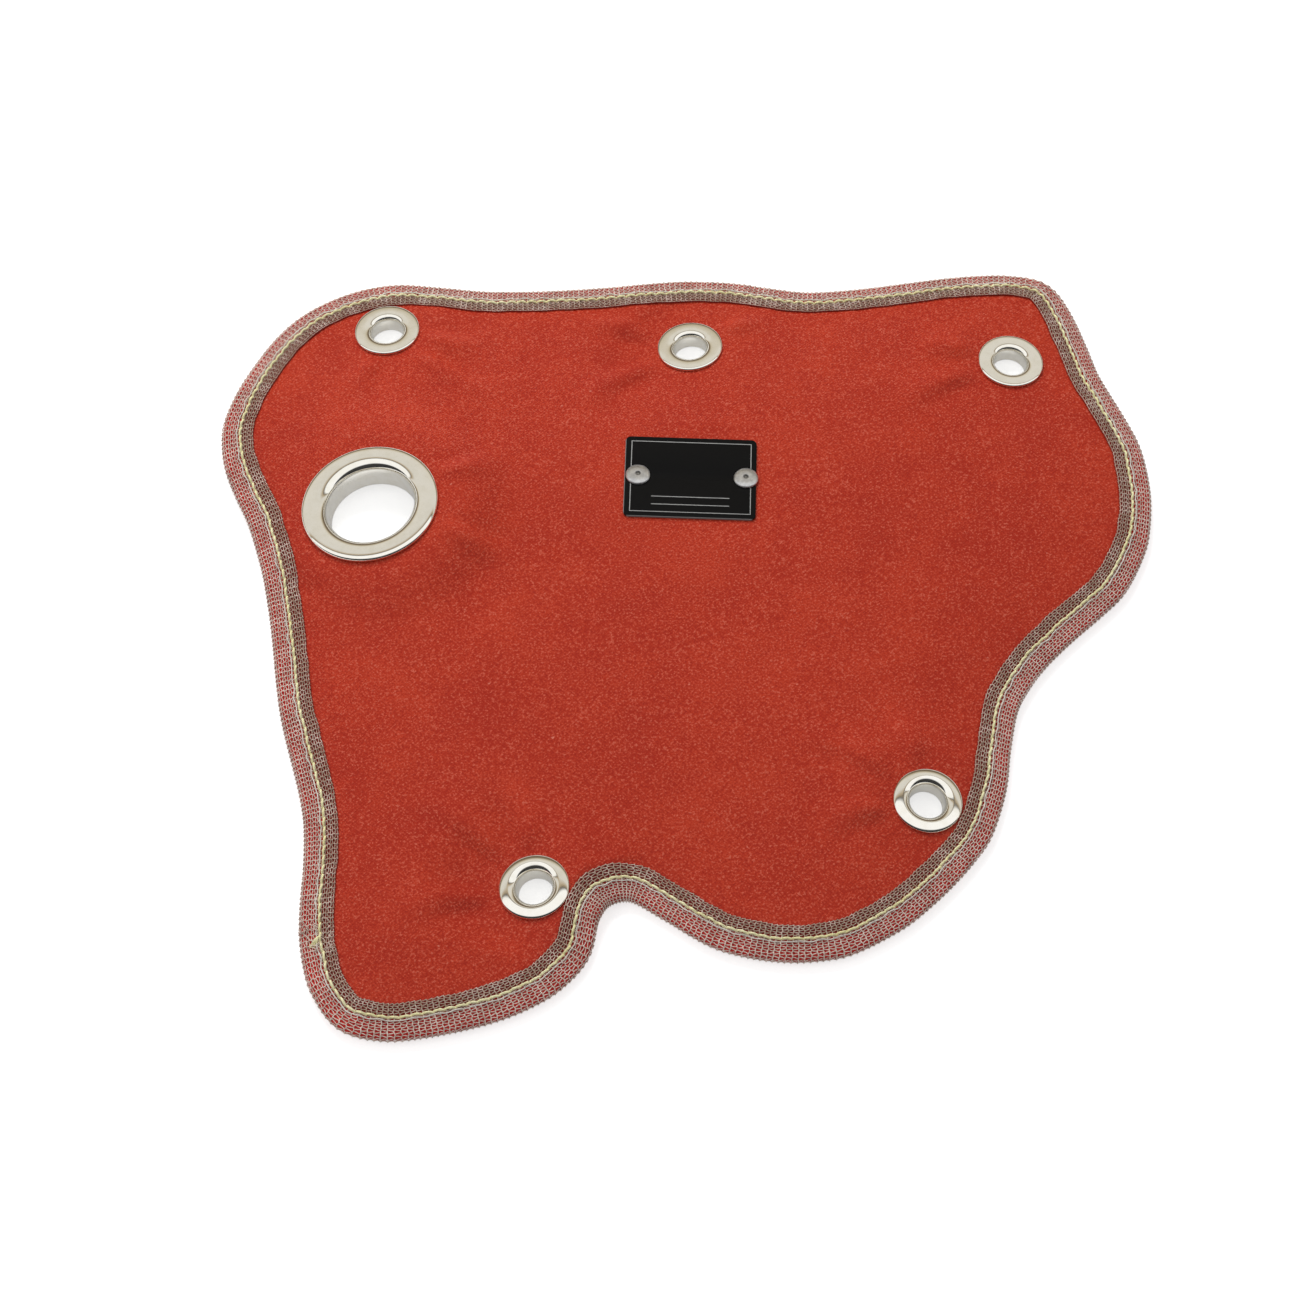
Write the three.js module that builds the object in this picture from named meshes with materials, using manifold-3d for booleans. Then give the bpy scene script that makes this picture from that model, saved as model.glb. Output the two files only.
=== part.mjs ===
// A turbocharger heat blanket, lying flat with its face cloth up, as it rests before it is wrapped and laced.
// Millimetres, +Z up. The origin is at table height, under the middle of the blanket's box.

import * as THREE from "three";
import { mergeVertices } from "three/addons/utils/BufferGeometryUtils.js";
import Module from "manifold-3d";

const wasm = await Module();
wasm.setup();

// Pattern: the points that the bound edge runs through, clockwise from above the top left eyelet
const blanketWidth = 361.7;
const blanketDepth = 347.5;
const patternPoints = [
  [-113, 169], [-81, 166], [-57, 166], [-30, 168], [-2, 171], [22, 170], [49, 165.5], [77, 168],
  [108, 173], [133, 174], [147.5, 169.5], [156, 155], [161.5, 137], [164.8, 124], [173.4, 103],
  [178.5, 89], [181.2, 63], [177.3, 37.6], [168.5, 19], [136.5, -15], [124, -36], [118, -70],
  [112, -89], [98, -109], [77.5, -128.5], [60, -138.5], [37, -142], [11, -136.7], [-7.5, -125],
  [-20, -117], [-27, -118.5], [-31, -125], [-34.5, -140], [-44, -152.5], [-65, -165],
  [-107, -173.5], [-123, -168.7], [-133, -155], [-138.5, -133], [-139.5, -85], [-151, -36],
  [-157, 5], [-162, 30], [-168, 50], [-178.5, 76], [-180.5, 100], [-168, 132.5], [-154, 152],
  [-134.5, 164.5],
];
const stationSpacing = 14;

// The pattern and what is placed on it stretch together to the blanket's width and depth
const patternSpan = [0, 1].map((axis) => {
  const values = patternPoints.map((point) => point[axis]);
  return Math.max(...values) - Math.min(...values);
});

function onPattern([x, y]) {
  return [(x * blanketWidth) / patternSpan[0], (y * blanketDepth) / patternSpan[1]];
}

// Pad: face cloth, insulation and back cloth, thin at the edge and swelling to the middle
const faceClothThickness = 0.8;
const backClothThickness = 0.6;
const layerGap = 0.1;
const padEdgeThickness = 3.2;
const padMiddleThickness = 14;
const padSwellLength = 40;
const gridSpacing = 31;

// Edge binding: a knitted wire tape folded round the pad's edge and sewn through
const tapeThickness = 0.9;
const tapeLeg = 12.8;
const foldDepth = 2.4;
const tapeGap = 0.3;
const tapeEndGap = 0.6;
const backSettleLength = 7;
const seamInset = 7.8;
const seamGrooveWidth = 1.8;
const seamGrooveDepth = 0.5;

// Seam threads: the needle thread on the face, the bobbin thread on the back
const faceThreadWidth = 0.8;
const faceThreadHeight = 0.8;
const backThreadWidth = 0.7;
const backThreadHeight = 0.34;
const threadGap = 0.15;
const backThreadLift = 0.05;

// Eyelets: a flanged barrel from the face, rolled over a washer at the back
const smallEyelet = {
  flangeRadius: 13.05,
  flangeRise: 1.3,
  lipWidth: 0.75,
  throatRadius: 8.2,
  throatDrop: 1.9,
  boreRadius: 6.35,
  wall: 0.6,
  grip: 5,
  rollWidth: 1.5,
  washerRadius: 11.6,
  sides: 18,
};
const domedEyelet = { ...smallEyelet, flangeRise: 2.1, lipWidth: 1.6, throatRadius: 8.6, throatDrop: 2.3 };
const portEyelet = {
  flangeRadius: 26.85,
  flangeRise: 2.2,
  lipWidth: 1.5,
  throatRadius: 19.6,
  throatDrop: 2.8,
  boreRadius: 16.8,
  wall: 0.8,
  grip: 9,
  rollWidth: 2,
  washerRadius: 24.6,
  sides: 24,
};
const washerThickness = 0.8;
const washerClearance = 0.3;
const seatGap = 0.15;
const rollGap = 0.15;
const clothHoleClearance = 0.35;
const coreHoleClearance = 0.9;
const seatMargin = 4.5;
const seatRimMargin = 1.2;
const seatBlend = 11;
const seatRingRoom = 0.5;
const floorClearance = 0.3;
const punchSides = 12;

// Each eyelet stands near a point of the pattern, with this much room between its flange and the tape.
// It leans by these degrees towards +X and +Y.
const nearTopLeft = [-117.7, 142];
const nearTopMiddle = [2.9, 133.5];
const nearTopRight = [129.8, 126.4];
const nearLowerRight = [88.5, -78.2];
const nearLowerLeft = [-54.5, -114.3];
const nearPort = [-120.3, 51.7];
const eyelets = [
  { name: "eyelet_top_left", near: nearTopLeft, room: 0.4, lean: [-4, 4], size: smallEyelet },
  { name: "eyelet_top_middle", near: nearTopMiddle, room: 11.6, lean: [-4, 5], size: smallEyelet },
  { name: "eyelet_top_right", near: nearTopRight, room: 7.5, lean: [4, 1], size: smallEyelet },
  { name: "eyelet_lower_right", near: nearLowerRight, room: 0.1, lean: [7, -7], size: domedEyelet },
  { name: "eyelet_lower_left", near: nearLowerLeft, room: 0.1, lean: [-7, -4], size: domedEyelet },
  { name: "port_eyelet", near: nearPort, room: 6.5, lean: [-8, -1], size: portEyelet },
];

// Name plate: a bare dark plate held by two blind rivets through the face cloth
const nearPlate = [2.5, 64.7];
const plateLean = [1, 0];
const plateTurn = -1.6;
const plateWidth = 50.8;
const plateHeight = 38.1;
const plateThickness = 0.8;
const plateCorner = 2.2;
const plateGap = 0.1;
const rivetInset = 4.6;
const rivetPitch = plateWidth - 2 * rivetInset;
const rivetRise = 0.4;
const rivetShift = 0.6;
const rivet = {
  headRadius: 4.75,
  headRise: 1.3,
  shankRadius: 1.6,
  boreRadius: 0.95,
  bulbRadius: 2.9,
  bulbLength: 3.2,
  washerRadius: 5,
  washerThickness: 0.8,
  sides: 12,
};
const rivetHoleClearance = 0.3;
const rivetGap = 0.1;
const mandrelClearance = 0.12;
const mandrelHeadRadius = 1.5;
const mandrelHeadLength = 1.2;
const stemPit = 0.35;
const pocketClearance = 0.4;

// Materials
function material(color, roughness, metalness) {
  return new THREE.MeshStandardMaterial({ color, roughness, metalness });
}

const siliconeGlassCloth = () => material(0xb83a2a, 0.6, 0);
const ceramicWool = () => material(0xe9e4d6, 0.95, 0);
const silicaCloth = () => material(0xd9cfb8, 0.9, 0);
const knittedWire = () => material(0x8f8578, 0.5, 0.8);
const aramidThread = () => material(0xd6d79a, 0.8, 0);
const nickelPlate = () => material(0xd8d4c8, 0.18, 1);
const blackAnodised = () => material(0x161617, 0.4, 0.3);
const aluminium = () => material(0xcfd0cf, 0.3, 1);
const zincSteel = () => material(0x9b9c9e, 0.4, 1);

// Solids
const blanket = new THREE.Group();

function addPiece(parent, name, geometry, finish) {
  const mesh = new THREE.Mesh(geometry, finish);
  mesh.name = name;
  parent.add(mesh);
  return mesh;
}

function indexedGeometry(vertices, triangles) {
  const geometry = new THREE.BufferGeometry();
  geometry.setAttribute("position", new THREE.Float32BufferAttribute(vertices.flat(), 3));
  geometry.setIndex(triangles.flat());
  return geometry;
}

function solidOf(geometry) {
  const bare = geometry.clone();
  bare.deleteAttribute("normal");
  bare.deleteAttribute("uv");
  const merged = mergeVertices(bare, 1e-4);
  const mesh = new wasm.Mesh({
    numProp: 3,
    vertProperties: merged.attributes.position.array,
    triVerts: new Uint32Array(merged.index.array),
  });
  return new wasm.Manifold(mesh);
}

function geometryOf(solid) {
  const mesh = solid.getMesh();
  const geometry = new THREE.BufferGeometry();
  geometry.setAttribute("position", new THREE.BufferAttribute(mesh.vertProperties, 3));
  geometry.setIndex(new THREE.BufferAttribute(mesh.triVerts, 1));
  return geometry;
}

function cutAway(geometry, tools) {
  let solid = solidOf(geometry);
  for (const tool of tools) solid = solid.subtract(solidOf(tool));
  return geometryOf(solid);
}

// A lathed piece about its own +Z, from a profile of [radius, height] points
function turned(profile, sides) {
  const points = profile.map(([radius, height]) => new THREE.Vector2(radius, height));
  return new THREE.LatheGeometry(points, sides).rotateX(Math.PI / 2);
}

// An upright punch whose flats, not its corners, keep the radius
function punch(radius, low, high, sides) {
  const corner = radius / Math.cos(Math.PI / sides);
  const geometry = new THREE.CylinderGeometry(corner, corner, high - low, sides);
  return geometry.rotateX(Math.PI / 2).translate(0, 0, (low + high) / 2);
}

// Pressed sheet metal: a centre line thickened by half the wall on each side
function pressedProfile(centreLine, wall) {
  const line = centreLine.map(([radius, height]) => new THREE.Vector2(radius, height));
  const side = (sign) =>
    line.map((point, i) => {
      const before = line[Math.max(i - 1, 0)];
      const after = line[Math.min(i + 1, line.length - 1)];
      const along = after.clone().sub(before).normalize();
      return [point.x - (along.y * sign * wall) / 2, point.y + (along.x * sign * wall) / 2];
    });
  const over = side(-1);
  return [...over, ...side(1).reverse(), over[0]];
}

// Outline
function smoothStep(low, high, value) {
  const t = Math.min(Math.max((value - low) / (high - low), 0), 1);
  return t * t * (3 - 2 * t);
}

function outlineStations() {
  const knots = patternPoints.map((point) => new THREE.Vector3(...onPattern(point), 0));
  const curve = new THREE.CatmullRomCurve3(knots, true, "centripetal");
  const stations = [];
  for (let i = 0; i < knots.length; i++) {
    const span = knots[i].distanceTo(knots[(i + 1) % knots.length]);
    const steps = Math.max(Math.round(span / stationSpacing), 1);
    for (let k = 0; k < steps; k++) {
      const t = (i + k / steps) / knots.length;
      const place = curve.getPoint(t);
      const along = curve.getTangent(t);
      // the pattern runs clockwise, so its inside is on the right hand
      stations.push({ place, inward: new THREE.Vector2(along.y, -along.x) });
    }
  }
  return stations;
}

const stations = outlineStations();

function insetRing(inset) {
  return stations.map(({ place, inward }) => [place.x + inward.x * inset, place.y + inward.y * inset]);
}

function nearestOnRing([x, y], ring) {
  let nearest = { distance: Infinity, foot: ring[0] };
  for (let i = 0; i < ring.length; i++) {
    const [ax, ay] = ring[i];
    const [bx, by] = ring[(i + 1) % ring.length];
    const share = ((x - ax) * (bx - ax) + (y - ay) * (by - ay)) / ((bx - ax) ** 2 + (by - ay) ** 2);
    const t = Math.min(Math.max(share, 0), 1);
    const foot = [ax + (bx - ax) * t, ay + (by - ay) * t];
    const distance = Math.hypot(foot[0] - x, foot[1] - y);
    if (distance < nearest.distance) nearest = { distance, foot };
  }
  return nearest;
}

function distanceToRing(point, ring) {
  return nearestOnRing(point, ring).distance;
}

function insideRing([x, y], ring) {
  let inside = false;
  for (let i = 0; i < ring.length; i++) {
    const [ax, ay] = ring[i];
    const [bx, by] = ring[(i + 1) % ring.length];
    if (ay > y !== by > y && x < ax + ((bx - ax) * (y - ay)) / (by - ay)) inside = !inside;
  }
  return inside;
}

// Seats: where the hardware clamps the pad, its faces are pressed into planes
function leanNormal([leanX, leanY]) {
  const x = Math.sin(THREE.MathUtils.degToRad(leanX));
  const y = Math.sin(THREE.MathUtils.degToRad(leanY));
  return new THREE.Vector3(x, y, Math.sqrt(1 - x * x - y * y));
}

function planeHeight(at, normal, height) {
  return (x, y) => height - ((x - at[0]) * normal.x + (y - at[1]) * normal.y) / normal.z;
}

function washerBore(size) {
  return size.boreRadius + size.wall + washerClearance;
}

// How far the barrel's roll and the washer reach below the pad's underside
function backReach(size, normal) {
  const sine = Math.hypot(normal.x, normal.y);
  const rollDepth = seatGap + washerThickness + rollGap + size.wall;
  const rollRadius = size.boreRadius + size.wall + size.rollWidth;
  const washer = (seatGap + washerThickness) * normal.z + size.washerRadius * sine;
  const roll = rollDepth * normal.z + rollRadius * sine;
  return Math.max(washer, roll);
}

// An eyelet keeps its room beside the tape, on the line from the nearest point of the bound edge
function eyeletPlace({ near, room, size }) {
  const drawn = onPattern(near);
  const { distance, foot } = nearestOnRing(drawn, insetRing(0));
  const stretch = (tapeLeg + room + size.flangeRadius) / distance;
  return [0, 1].map((axis) => foot[axis] + (drawn[axis] - foot[axis]) * stretch);
}

function eyeletSeat(eyelet) {
  const { lean, size } = eyelet;
  const at = eyeletPlace(eyelet);
  const normal = leanNormal(lean);
  const underHeight = floorClearance + backReach(size, normal);
  const topHeight = underHeight + size.grip / normal.z;
  return {
    at,
    normal,
    topHeight,
    radius: size.flangeRadius + seatMargin,
    top: planeHeight(at, normal, topHeight),
    under: planeHeight(at, normal, underHeight),
  };
}

function padThickness(inset) {
  const swell = 1 - Math.exp(-(inset - foldDepth) / padSwellLength);
  return padEdgeThickness + (padMiddleThickness - padEdgeThickness) * swell;
}

function padUnderside(inset) {
  const overTape = tapeThickness + tapeGap;
  const tapeEnd = tapeLeg + tapeEndGap;
  return overTape * (1 - smoothStep(tapeEnd, tapeEnd + backSettleLength, inset));
}

function plateSeat() {
  const at = onPattern(nearPlate);
  const normal = leanNormal(plateLean);
  const inset = distanceToRing(at, insetRing(0));
  const topHeight = padUnderside(inset) + padThickness(inset);
  const radius = Math.hypot(plateWidth, plateHeight) / 2 + seatMargin;
  return { at, normal, topHeight, radius, top: planeHeight(at, normal, topHeight) };
}

const eyeletSeats = eyelets.map(eyeletSeat);
const nameplateSeat = plateSeat();
const seats = [...eyeletSeats, nameplateSeat];

function padFaces([x, y], inset) {
  const lowest = padUnderside(inset);
  let under = lowest;
  let top = under + padThickness(inset);
  for (const seat of seats) {
    const reach = Math.hypot(x - seat.at[0], y - seat.at[1]);
    const pressed = 1 - smoothStep(seat.radius, seat.radius + seatBlend, reach);
    top += (seat.top(x, y) - top) * pressed;
    if (seat.under) under += Math.max(seat.under(x, y) - under, lowest - under) * pressed;
  }
  return { top, under };
}

// Plan of the pad: a band under the binding, and a Delaunay net inside it
function circumcircle(a, b, c) {
  const bx = b[0] - a[0];
  const by = b[1] - a[1];
  const cx = c[0] - a[0];
  const cy = c[1] - a[1];
  const double = 2 * (bx * cy - by * cx);
  const x = (cy * (bx * bx + by * by) - by * (cx * cx + cy * cy)) / double;
  const y = (bx * (cx * cx + cy * cy) - cx * (bx * bx + by * by)) / double;
  return { x: a[0] + x, y: a[1] + y, squared: x * x + y * y };
}

function delaunay(points) {
  const reach = 1e5;
  const all = [...points, [-reach, -reach], [reach, -reach], [0, reach]];
  const count = points.length;
  const face = (a, b, c) => ({ corners: [a, b, c], circle: circumcircle(all[a], all[b], all[c]) });
  let faces = [face(count, count + 1, count + 2)];
  for (let i = 0; i < count; i++) {
    const [x, y] = all[i];
    const edges = new Map();
    const kept = [];
    for (const each of faces) {
      const { circle, corners } = each;
      if ((circle.x - x) ** 2 + (circle.y - y) ** 2 >= circle.squared) {
        kept.push(each);
        continue;
      }
      for (let k = 0; k < 3; k++) {
        const from = corners[k];
        const to = corners[(k + 1) % 3];
        // an edge that two removed faces share is inside the hole they leave
        if (!edges.delete(`${to},${from}`)) edges.set(`${from},${to}`, [from, to]);
      }
    }
    for (const [from, to] of edges.values()) kept.push(face(from, to, i));
    faces = kept;
  }
  return faces.map((each) => each.corners).filter((corners) => corners.every((c) => c < count));
}

function seatPoints() {
  const points = [];
  for (const seat of seats) {
    const ringSides = seat.radius > 2 * smallEyelet.flangeRadius ? 16 : 12;
    const rim = seat.radius - seatMargin + seatRimMargin;
    points.push([...seat.at]);
    for (let k = 0; k < ringSides; k++) {
      const turn = (2 * Math.PI * (k + 0.5)) / ringSides;
      points.push([seat.at[0] + rim * Math.cos(turn), seat.at[1] + rim * Math.sin(turn)]);
    }
  }
  return points;
}

function gridPoints() {
  const points = [];
  const rowStep = (gridSpacing * Math.sqrt(3)) / 2;
  const reach = Math.max(...patternPoints.flat().map(Math.abs));
  const rows = Math.ceil(reach / rowStep);
  const columns = Math.ceil(reach / gridSpacing) + 1;
  for (let row = -rows; row <= rows; row++) {
    for (let column = -columns; column <= columns; column++) {
      points.push([(column + (row % 2) / 2) * gridSpacing, row * rowStep]);
    }
  }
  return points;
}

// A net point leaves each edge of the ring whole when it is outside the circle on that edge
function clearOfRing([x, y], ring, room) {
  return ring.every(([ax, ay], i) => {
    const [bx, by] = ring[(i + 1) % ring.length];
    const reach = Math.hypot(bx - ax, by - ay) / 2 + room;
    return Math.hypot(x - (ax + bx) / 2, y - (ay + by) / 2) > reach;
  });
}

function padPlan() {
  const edge = insetRing(foldDepth);
  const tapeEnd = insetRing(tapeLeg + tapeEndGap);
  const count = edge.length;
  const seatNet = seatPoints().filter((p) => insideRing(p, tapeEnd) && clearOfRing(p, tapeEnd, seatRingRoom));
  const distance = (p, q) => Math.hypot(p[0] - q[0], p[1] - q[1]);
  const gridNet = gridPoints().filter((p) => {
    if (!insideRing(p, tapeEnd) || !clearOfRing(p, tapeEnd, gridSpacing / 4)) return false;
    return seatNet.every((q) => distance(p, q) > gridSpacing / 2);
  });
  const inner = [...seatNet, ...gridNet];
  const net = [...tapeEnd, ...inner];
  const middle = (corners, axis) => corners.reduce((sum, c) => sum + net[c][axis], 0) / 3;
  const triangles = delaunay(net)
    .filter((corners) => insideRing([middle(corners, 0), middle(corners, 1)], tapeEnd))
    .map((corners) => corners.map((c) => c + count));
  for (let i = 0; i < count; i++) {
    const next = (i + 1) % count;
    triangles.push([i, count + next, next], [i, count + i, count + next]);
  }
  const places = [...edge, ...net];
  const insets = places.map((place) => distanceToRing(place, insetRing(0)));
  const faces = places.map((place, i) => padFaces(place, insets[i]));
  return { places, faces, triangles: triangles.map((t) => anticlockwise(t, places)), rimCount: count };
}

function anticlockwise([a, b, c], places) {
  const [ax, ay] = places[a];
  const [bx, by] = places[b];
  const [cx, cy] = places[c];
  return (bx - ax) * (cy - ay) - (by - ay) * (cx - ax) > 0 ? [a, b, c] : [a, c, b];
}

// One layer of the pad between two heights that are worked out at each point of the plan
function layer(plan, lowHeight, highHeight) {
  const { places, faces, triangles, rimCount } = plan;
  const count = places.length;
  const high = places.map(([x, y], i) => [x, y, highHeight(faces[i])]);
  const low = places.map(([x, y], i) => [x, y, lowHeight(faces[i])]);
  const skins = triangles.flatMap(([a, b, c]) => [[a, b, c], [a + count, c + count, b + count]]);
  for (let i = 0; i < rimCount; i++) {
    const next = (i + 1) % rimCount;
    skins.push([i, next, next + count], [i, next + count, i + count]);
  }
  return indexedGeometry([...high, ...low], skins);
}

// Ring that follows the outline: the same section at each station, as [inset, height] points
function sweptRing(sectionAt) {
  const sections = stations.map((station, i) => sectionAt(i));
  const size = sections[0].length;
  const vertices = sections.flatMap((section, i) =>
    section.map(([inset, height]) => {
      const { place, inward } = stations[i];
      return [place.x + inward.x * inset, place.y + inward.y * inset, height];
    }),
  );
  const triangles = [];
  for (let i = 0; i < sections.length; i++) {
    const next = (i + 1) % sections.length;
    for (let k = 0; k < size; k++) {
      const after = (k + 1) % size;
      const here = i * size;
      const there = next * size;
      triangles.push([here + k, there + after, here + after], [here + k, there + k, there + after]);
    }
  }
  return indexedGeometry(vertices, triangles);
}

const plan = padPlan();

// Height of the pad's face at a station, between its edge and the end of the tape
function bandTop(station, inset) {
  const edge = plan.faces[station].top;
  const end = plan.faces[station + plan.rimCount].top;
  const share = (inset - foldDepth) / (tapeLeg + tapeEndGap - foldDepth);
  return edge + (end - edge) * Math.max(share, 0);
}

function tapeTop(station, inset) {
  return bandTop(station, inset) + tapeGap + tapeThickness;
}

// Folded tape: face leg with its seam groove, round fold, back leg with its groove, then the inner faces
function bindingSection(station) {
  const halfGroove = seamGrooveWidth / 2;
  const foldHeight = tapeTop(station, foldDepth);
  const fold = (steps, depth, halfHeight) =>
    steps.map((degrees) => {
      const turn = THREE.MathUtils.degToRad(degrees);
      return [foldDepth - depth * Math.cos(turn), foldHeight / 2 + halfHeight * Math.sin(turn)];
    });
  const innerDepth = foldDepth - tapeThickness;
  const innerHalf = foldHeight / 2 - tapeThickness;
  return [
    [tapeLeg, tapeTop(station, tapeLeg)],
    [seamInset + halfGroove, tapeTop(station, seamInset + halfGroove)],
    [seamInset, tapeTop(station, seamInset) - seamGrooveDepth],
    [seamInset - halfGroove, tapeTop(station, seamInset - halfGroove)],
    ...fold([90, 45, 0, -45, -90], foldDepth, foldHeight / 2),
    [seamInset - halfGroove, 0],
    [seamInset, seamGrooveDepth],
    [seamInset + halfGroove, 0],
    [tapeLeg, 0],
    [tapeLeg, tapeThickness],
    ...fold([-90, 0, 90], innerDepth, innerHalf),
    [tapeLeg, tapeTop(station, tapeLeg) - tapeThickness],
  ];
}

function threadSection(middleHeight, width, height) {
  return [
    [seamInset + width / 2, middleHeight],
    [seamInset, middleHeight + height / 2],
    [seamInset - width / 2, middleHeight],
    [seamInset, middleHeight - height / 2],
  ];
}

function faceThreadSection(station) {
  const bottom = tapeTop(station, seamInset) - seamGrooveDepth + threadGap;
  return threadSection(bottom + faceThreadHeight / 2, faceThreadWidth, faceThreadHeight);
}

function backThreadSection() {
  return threadSection(backThreadLift + backThreadHeight / 2, backThreadWidth, backThreadHeight);
}

// Eyelet about its own +Z, with its flange on the face cloth at height zero
function eyeletGeometry(size) {
  const { flangeRadius, flangeRise, lipWidth, throatRadius, throatDrop } = size;
  const { boreRadius, wall, grip, rollWidth } = size;
  const lipRadius = flangeRadius - wall / 2;
  const crest = seatGap + flangeRise - wall / 2;
  const barrel = boreRadius + wall / 2;
  const rollHeight = -grip - seatGap - washerThickness - rollGap - wall / 2;
  const centreLine = [
    [lipRadius, seatGap + wall / 4],
    [lipRadius - lipWidth / 3, seatGap + flangeRise * 0.6],
    [lipRadius - lipWidth, crest],
    [throatRadius, crest],
    [(throatRadius + barrel) / 2, crest - throatDrop * 0.42],
    [barrel, crest - throatDrop],
    [barrel, rollHeight + wall / 2],
    [barrel + rollWidth, rollHeight],
  ];
  return turned(pressedProfile(centreLine, wall), size.sides);
}

function washerGeometry(innerRadius, outerRadius, high, thickness, sides) {
  const low = high - thickness;
  const profile = [
    [innerRadius, low],
    [outerRadius, low],
    [outerRadius, high],
    [innerRadius, high],
    [innerRadius, low],
  ];
  return turned(profile, sides);
}

function seatGroup(seat, turnDegrees = 0) {
  const group = new THREE.Group();
  group.position.set(seat.at[0], seat.at[1], seat.topHeight);
  group.quaternion.setFromUnitVectors(new THREE.Vector3(0, 0, 1), seat.normal);
  group.rotateZ(THREE.MathUtils.degToRad(turnDegrees));
  group.updateMatrix();
  return group;
}

const eyeletGroups = eyeletSeats.map((seat) => seatGroup(seat));

// The face cloth is cut round the throat, and what lies below it round the barrel
function eyeletPunches(radiusOf) {
  return eyelets.map(({ size }, i) => {
    const tool = punch(radiusOf(size), -2 * size.grip, size.grip, punchSides);
    return tool.applyMatrix4(eyeletGroups[i].matrix);
  });
}

// Name plate and its rivets, in the plate seat's own frame: height zero is the cloth's face
const plateGroup = seatGroup(nameplateSeat, plateTurn);
const rivetPlaces = [-rivetPitch / 2, rivetPitch / 2].map((x) => [x + rivetShift, rivetRise]);
const rivetSeat = plateGap + plateThickness + rivetGap;
const rivetWasherTop = -faceClothThickness - rivetGap;
const bulbTop = rivetWasherTop - rivet.washerThickness - rivetGap;
const bulbBottom = bulbTop - rivet.bulbLength;
const mandrelBottom = bulbBottom - rivetGap - mandrelHeadLength;

function plateShape() {
  const x = plateWidth / 2;
  const y = plateHeight / 2;
  const shape = new THREE.Shape();
  shape.absarc(x - plateCorner, y - plateCorner, plateCorner, 0, Math.PI / 2);
  shape.absarc(-x + plateCorner, y - plateCorner, plateCorner, Math.PI / 2, Math.PI);
  shape.absarc(-x + plateCorner, -y + plateCorner, plateCorner, Math.PI, 1.5 * Math.PI);
  shape.absarc(x - plateCorner, -y + plateCorner, plateCorner, 1.5 * Math.PI, 2 * Math.PI);
  for (const [holeX, holeY] of rivetPlaces) {
    const hole = new THREE.Path();
    hole.absarc(holeX, holeY, rivet.shankRadius + rivetHoleClearance, 0, 2 * Math.PI, true);
    shape.holes.push(hole);
  }
  return shape;
}

function plateGeometry() {
  const options = { depth: plateThickness, bevelEnabled: false, curveSegments: 4 };
  return new THREE.ExtrudeGeometry(plateShape(), options).translate(0, 0, plateGap);
}

function rivetGeometry() {
  const { headRadius, headRise, shankRadius, boreRadius, bulbRadius, sides } = rivet;
  const top = rivetSeat + headRise;
  const profile = [
    [boreRadius, bulbBottom],
    [bulbRadius, bulbBottom + 0.3 * rivet.bulbLength],
    [bulbRadius, bulbTop - 0.1 * rivet.bulbLength],
    [shankRadius, bulbTop],
    [shankRadius, rivetSeat],
    [headRadius, rivetSeat],
    [headRadius * 0.93, rivetSeat + headRise * 0.45],
    [headRadius * 0.62, rivetSeat + headRise * 0.85],
    [boreRadius, top],
    [boreRadius, bulbBottom],
  ];
  return turned(profile, sides);
}

function mandrelGeometry() {
  const stem = rivet.boreRadius - mandrelClearance;
  const stemTop = rivetSeat + rivet.headRise - stemPit;
  const profile = [
    [0, mandrelBottom],
    [mandrelHeadRadius, mandrelBottom + mandrelHeadLength / 3],
    [mandrelHeadRadius, mandrelBottom + mandrelHeadLength],
    [stem, mandrelBottom + mandrelHeadLength],
    [stem, stemTop],
    [0, stemTop],
  ];
  return turned(profile, rivet.sides / 1.5);
}

function rivetPunches(radius, low, high) {
  return rivetPlaces.map(([x, y]) => {
    const tool = punch(radius, low, high, rivet.sides / 1.5);
    return tool.translate(x, y, 0).applyMatrix4(plateGroup.matrix);
  });
}

// Assembly: the pad's three layers, bored for the eyelets and the rivets
function addPad() {
  const faceBottom = ({ top }) => top - faceClothThickness;
  const backTop = ({ under }) => under + backClothThickness;
  const face = layer(plan, faceBottom, ({ top }) => top);
  const core = layer(plan, (f) => backTop(f) + layerGap, (f) => faceBottom(f) - layerGap);
  const back = layer(plan, ({ under }) => under, backTop);
  const barrelRadius = (size) => size.boreRadius + size.wall;
  const faceHoles = eyeletPunches((size) => size.throatRadius + clothHoleClearance);
  const coreHoles = eyeletPunches((size) => barrelRadius(size) + coreHoleClearance);
  const backHoles = eyeletPunches((size) => barrelRadius(size) + clothHoleClearance);
  const shankHoles = rivetPunches(rivet.shankRadius + rivetHoleClearance, -2, 2);
  const pockets = rivetPunches(rivet.washerRadius + pocketClearance, mandrelBottom - pocketClearance, 2);
  addPiece(blanket, "face_cloth", cutAway(face, [...faceHoles, ...shankHoles]), siliconeGlassCloth());
  addPiece(blanket, "insulation_core", cutAway(core, [...coreHoles, ...pockets]), ceramicWool());
  addPiece(blanket, "back_cloth", cutAway(back, backHoles), silicaCloth());
}

function addBinding() {
  addPiece(blanket, "edge_binding", sweptRing(bindingSection), knittedWire());
  addPiece(blanket, "face_seam_thread", sweptRing(faceThreadSection), aramidThread());
  addPiece(blanket, "back_seam_thread", sweptRing(backThreadSection), aramidThread());
}

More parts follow.
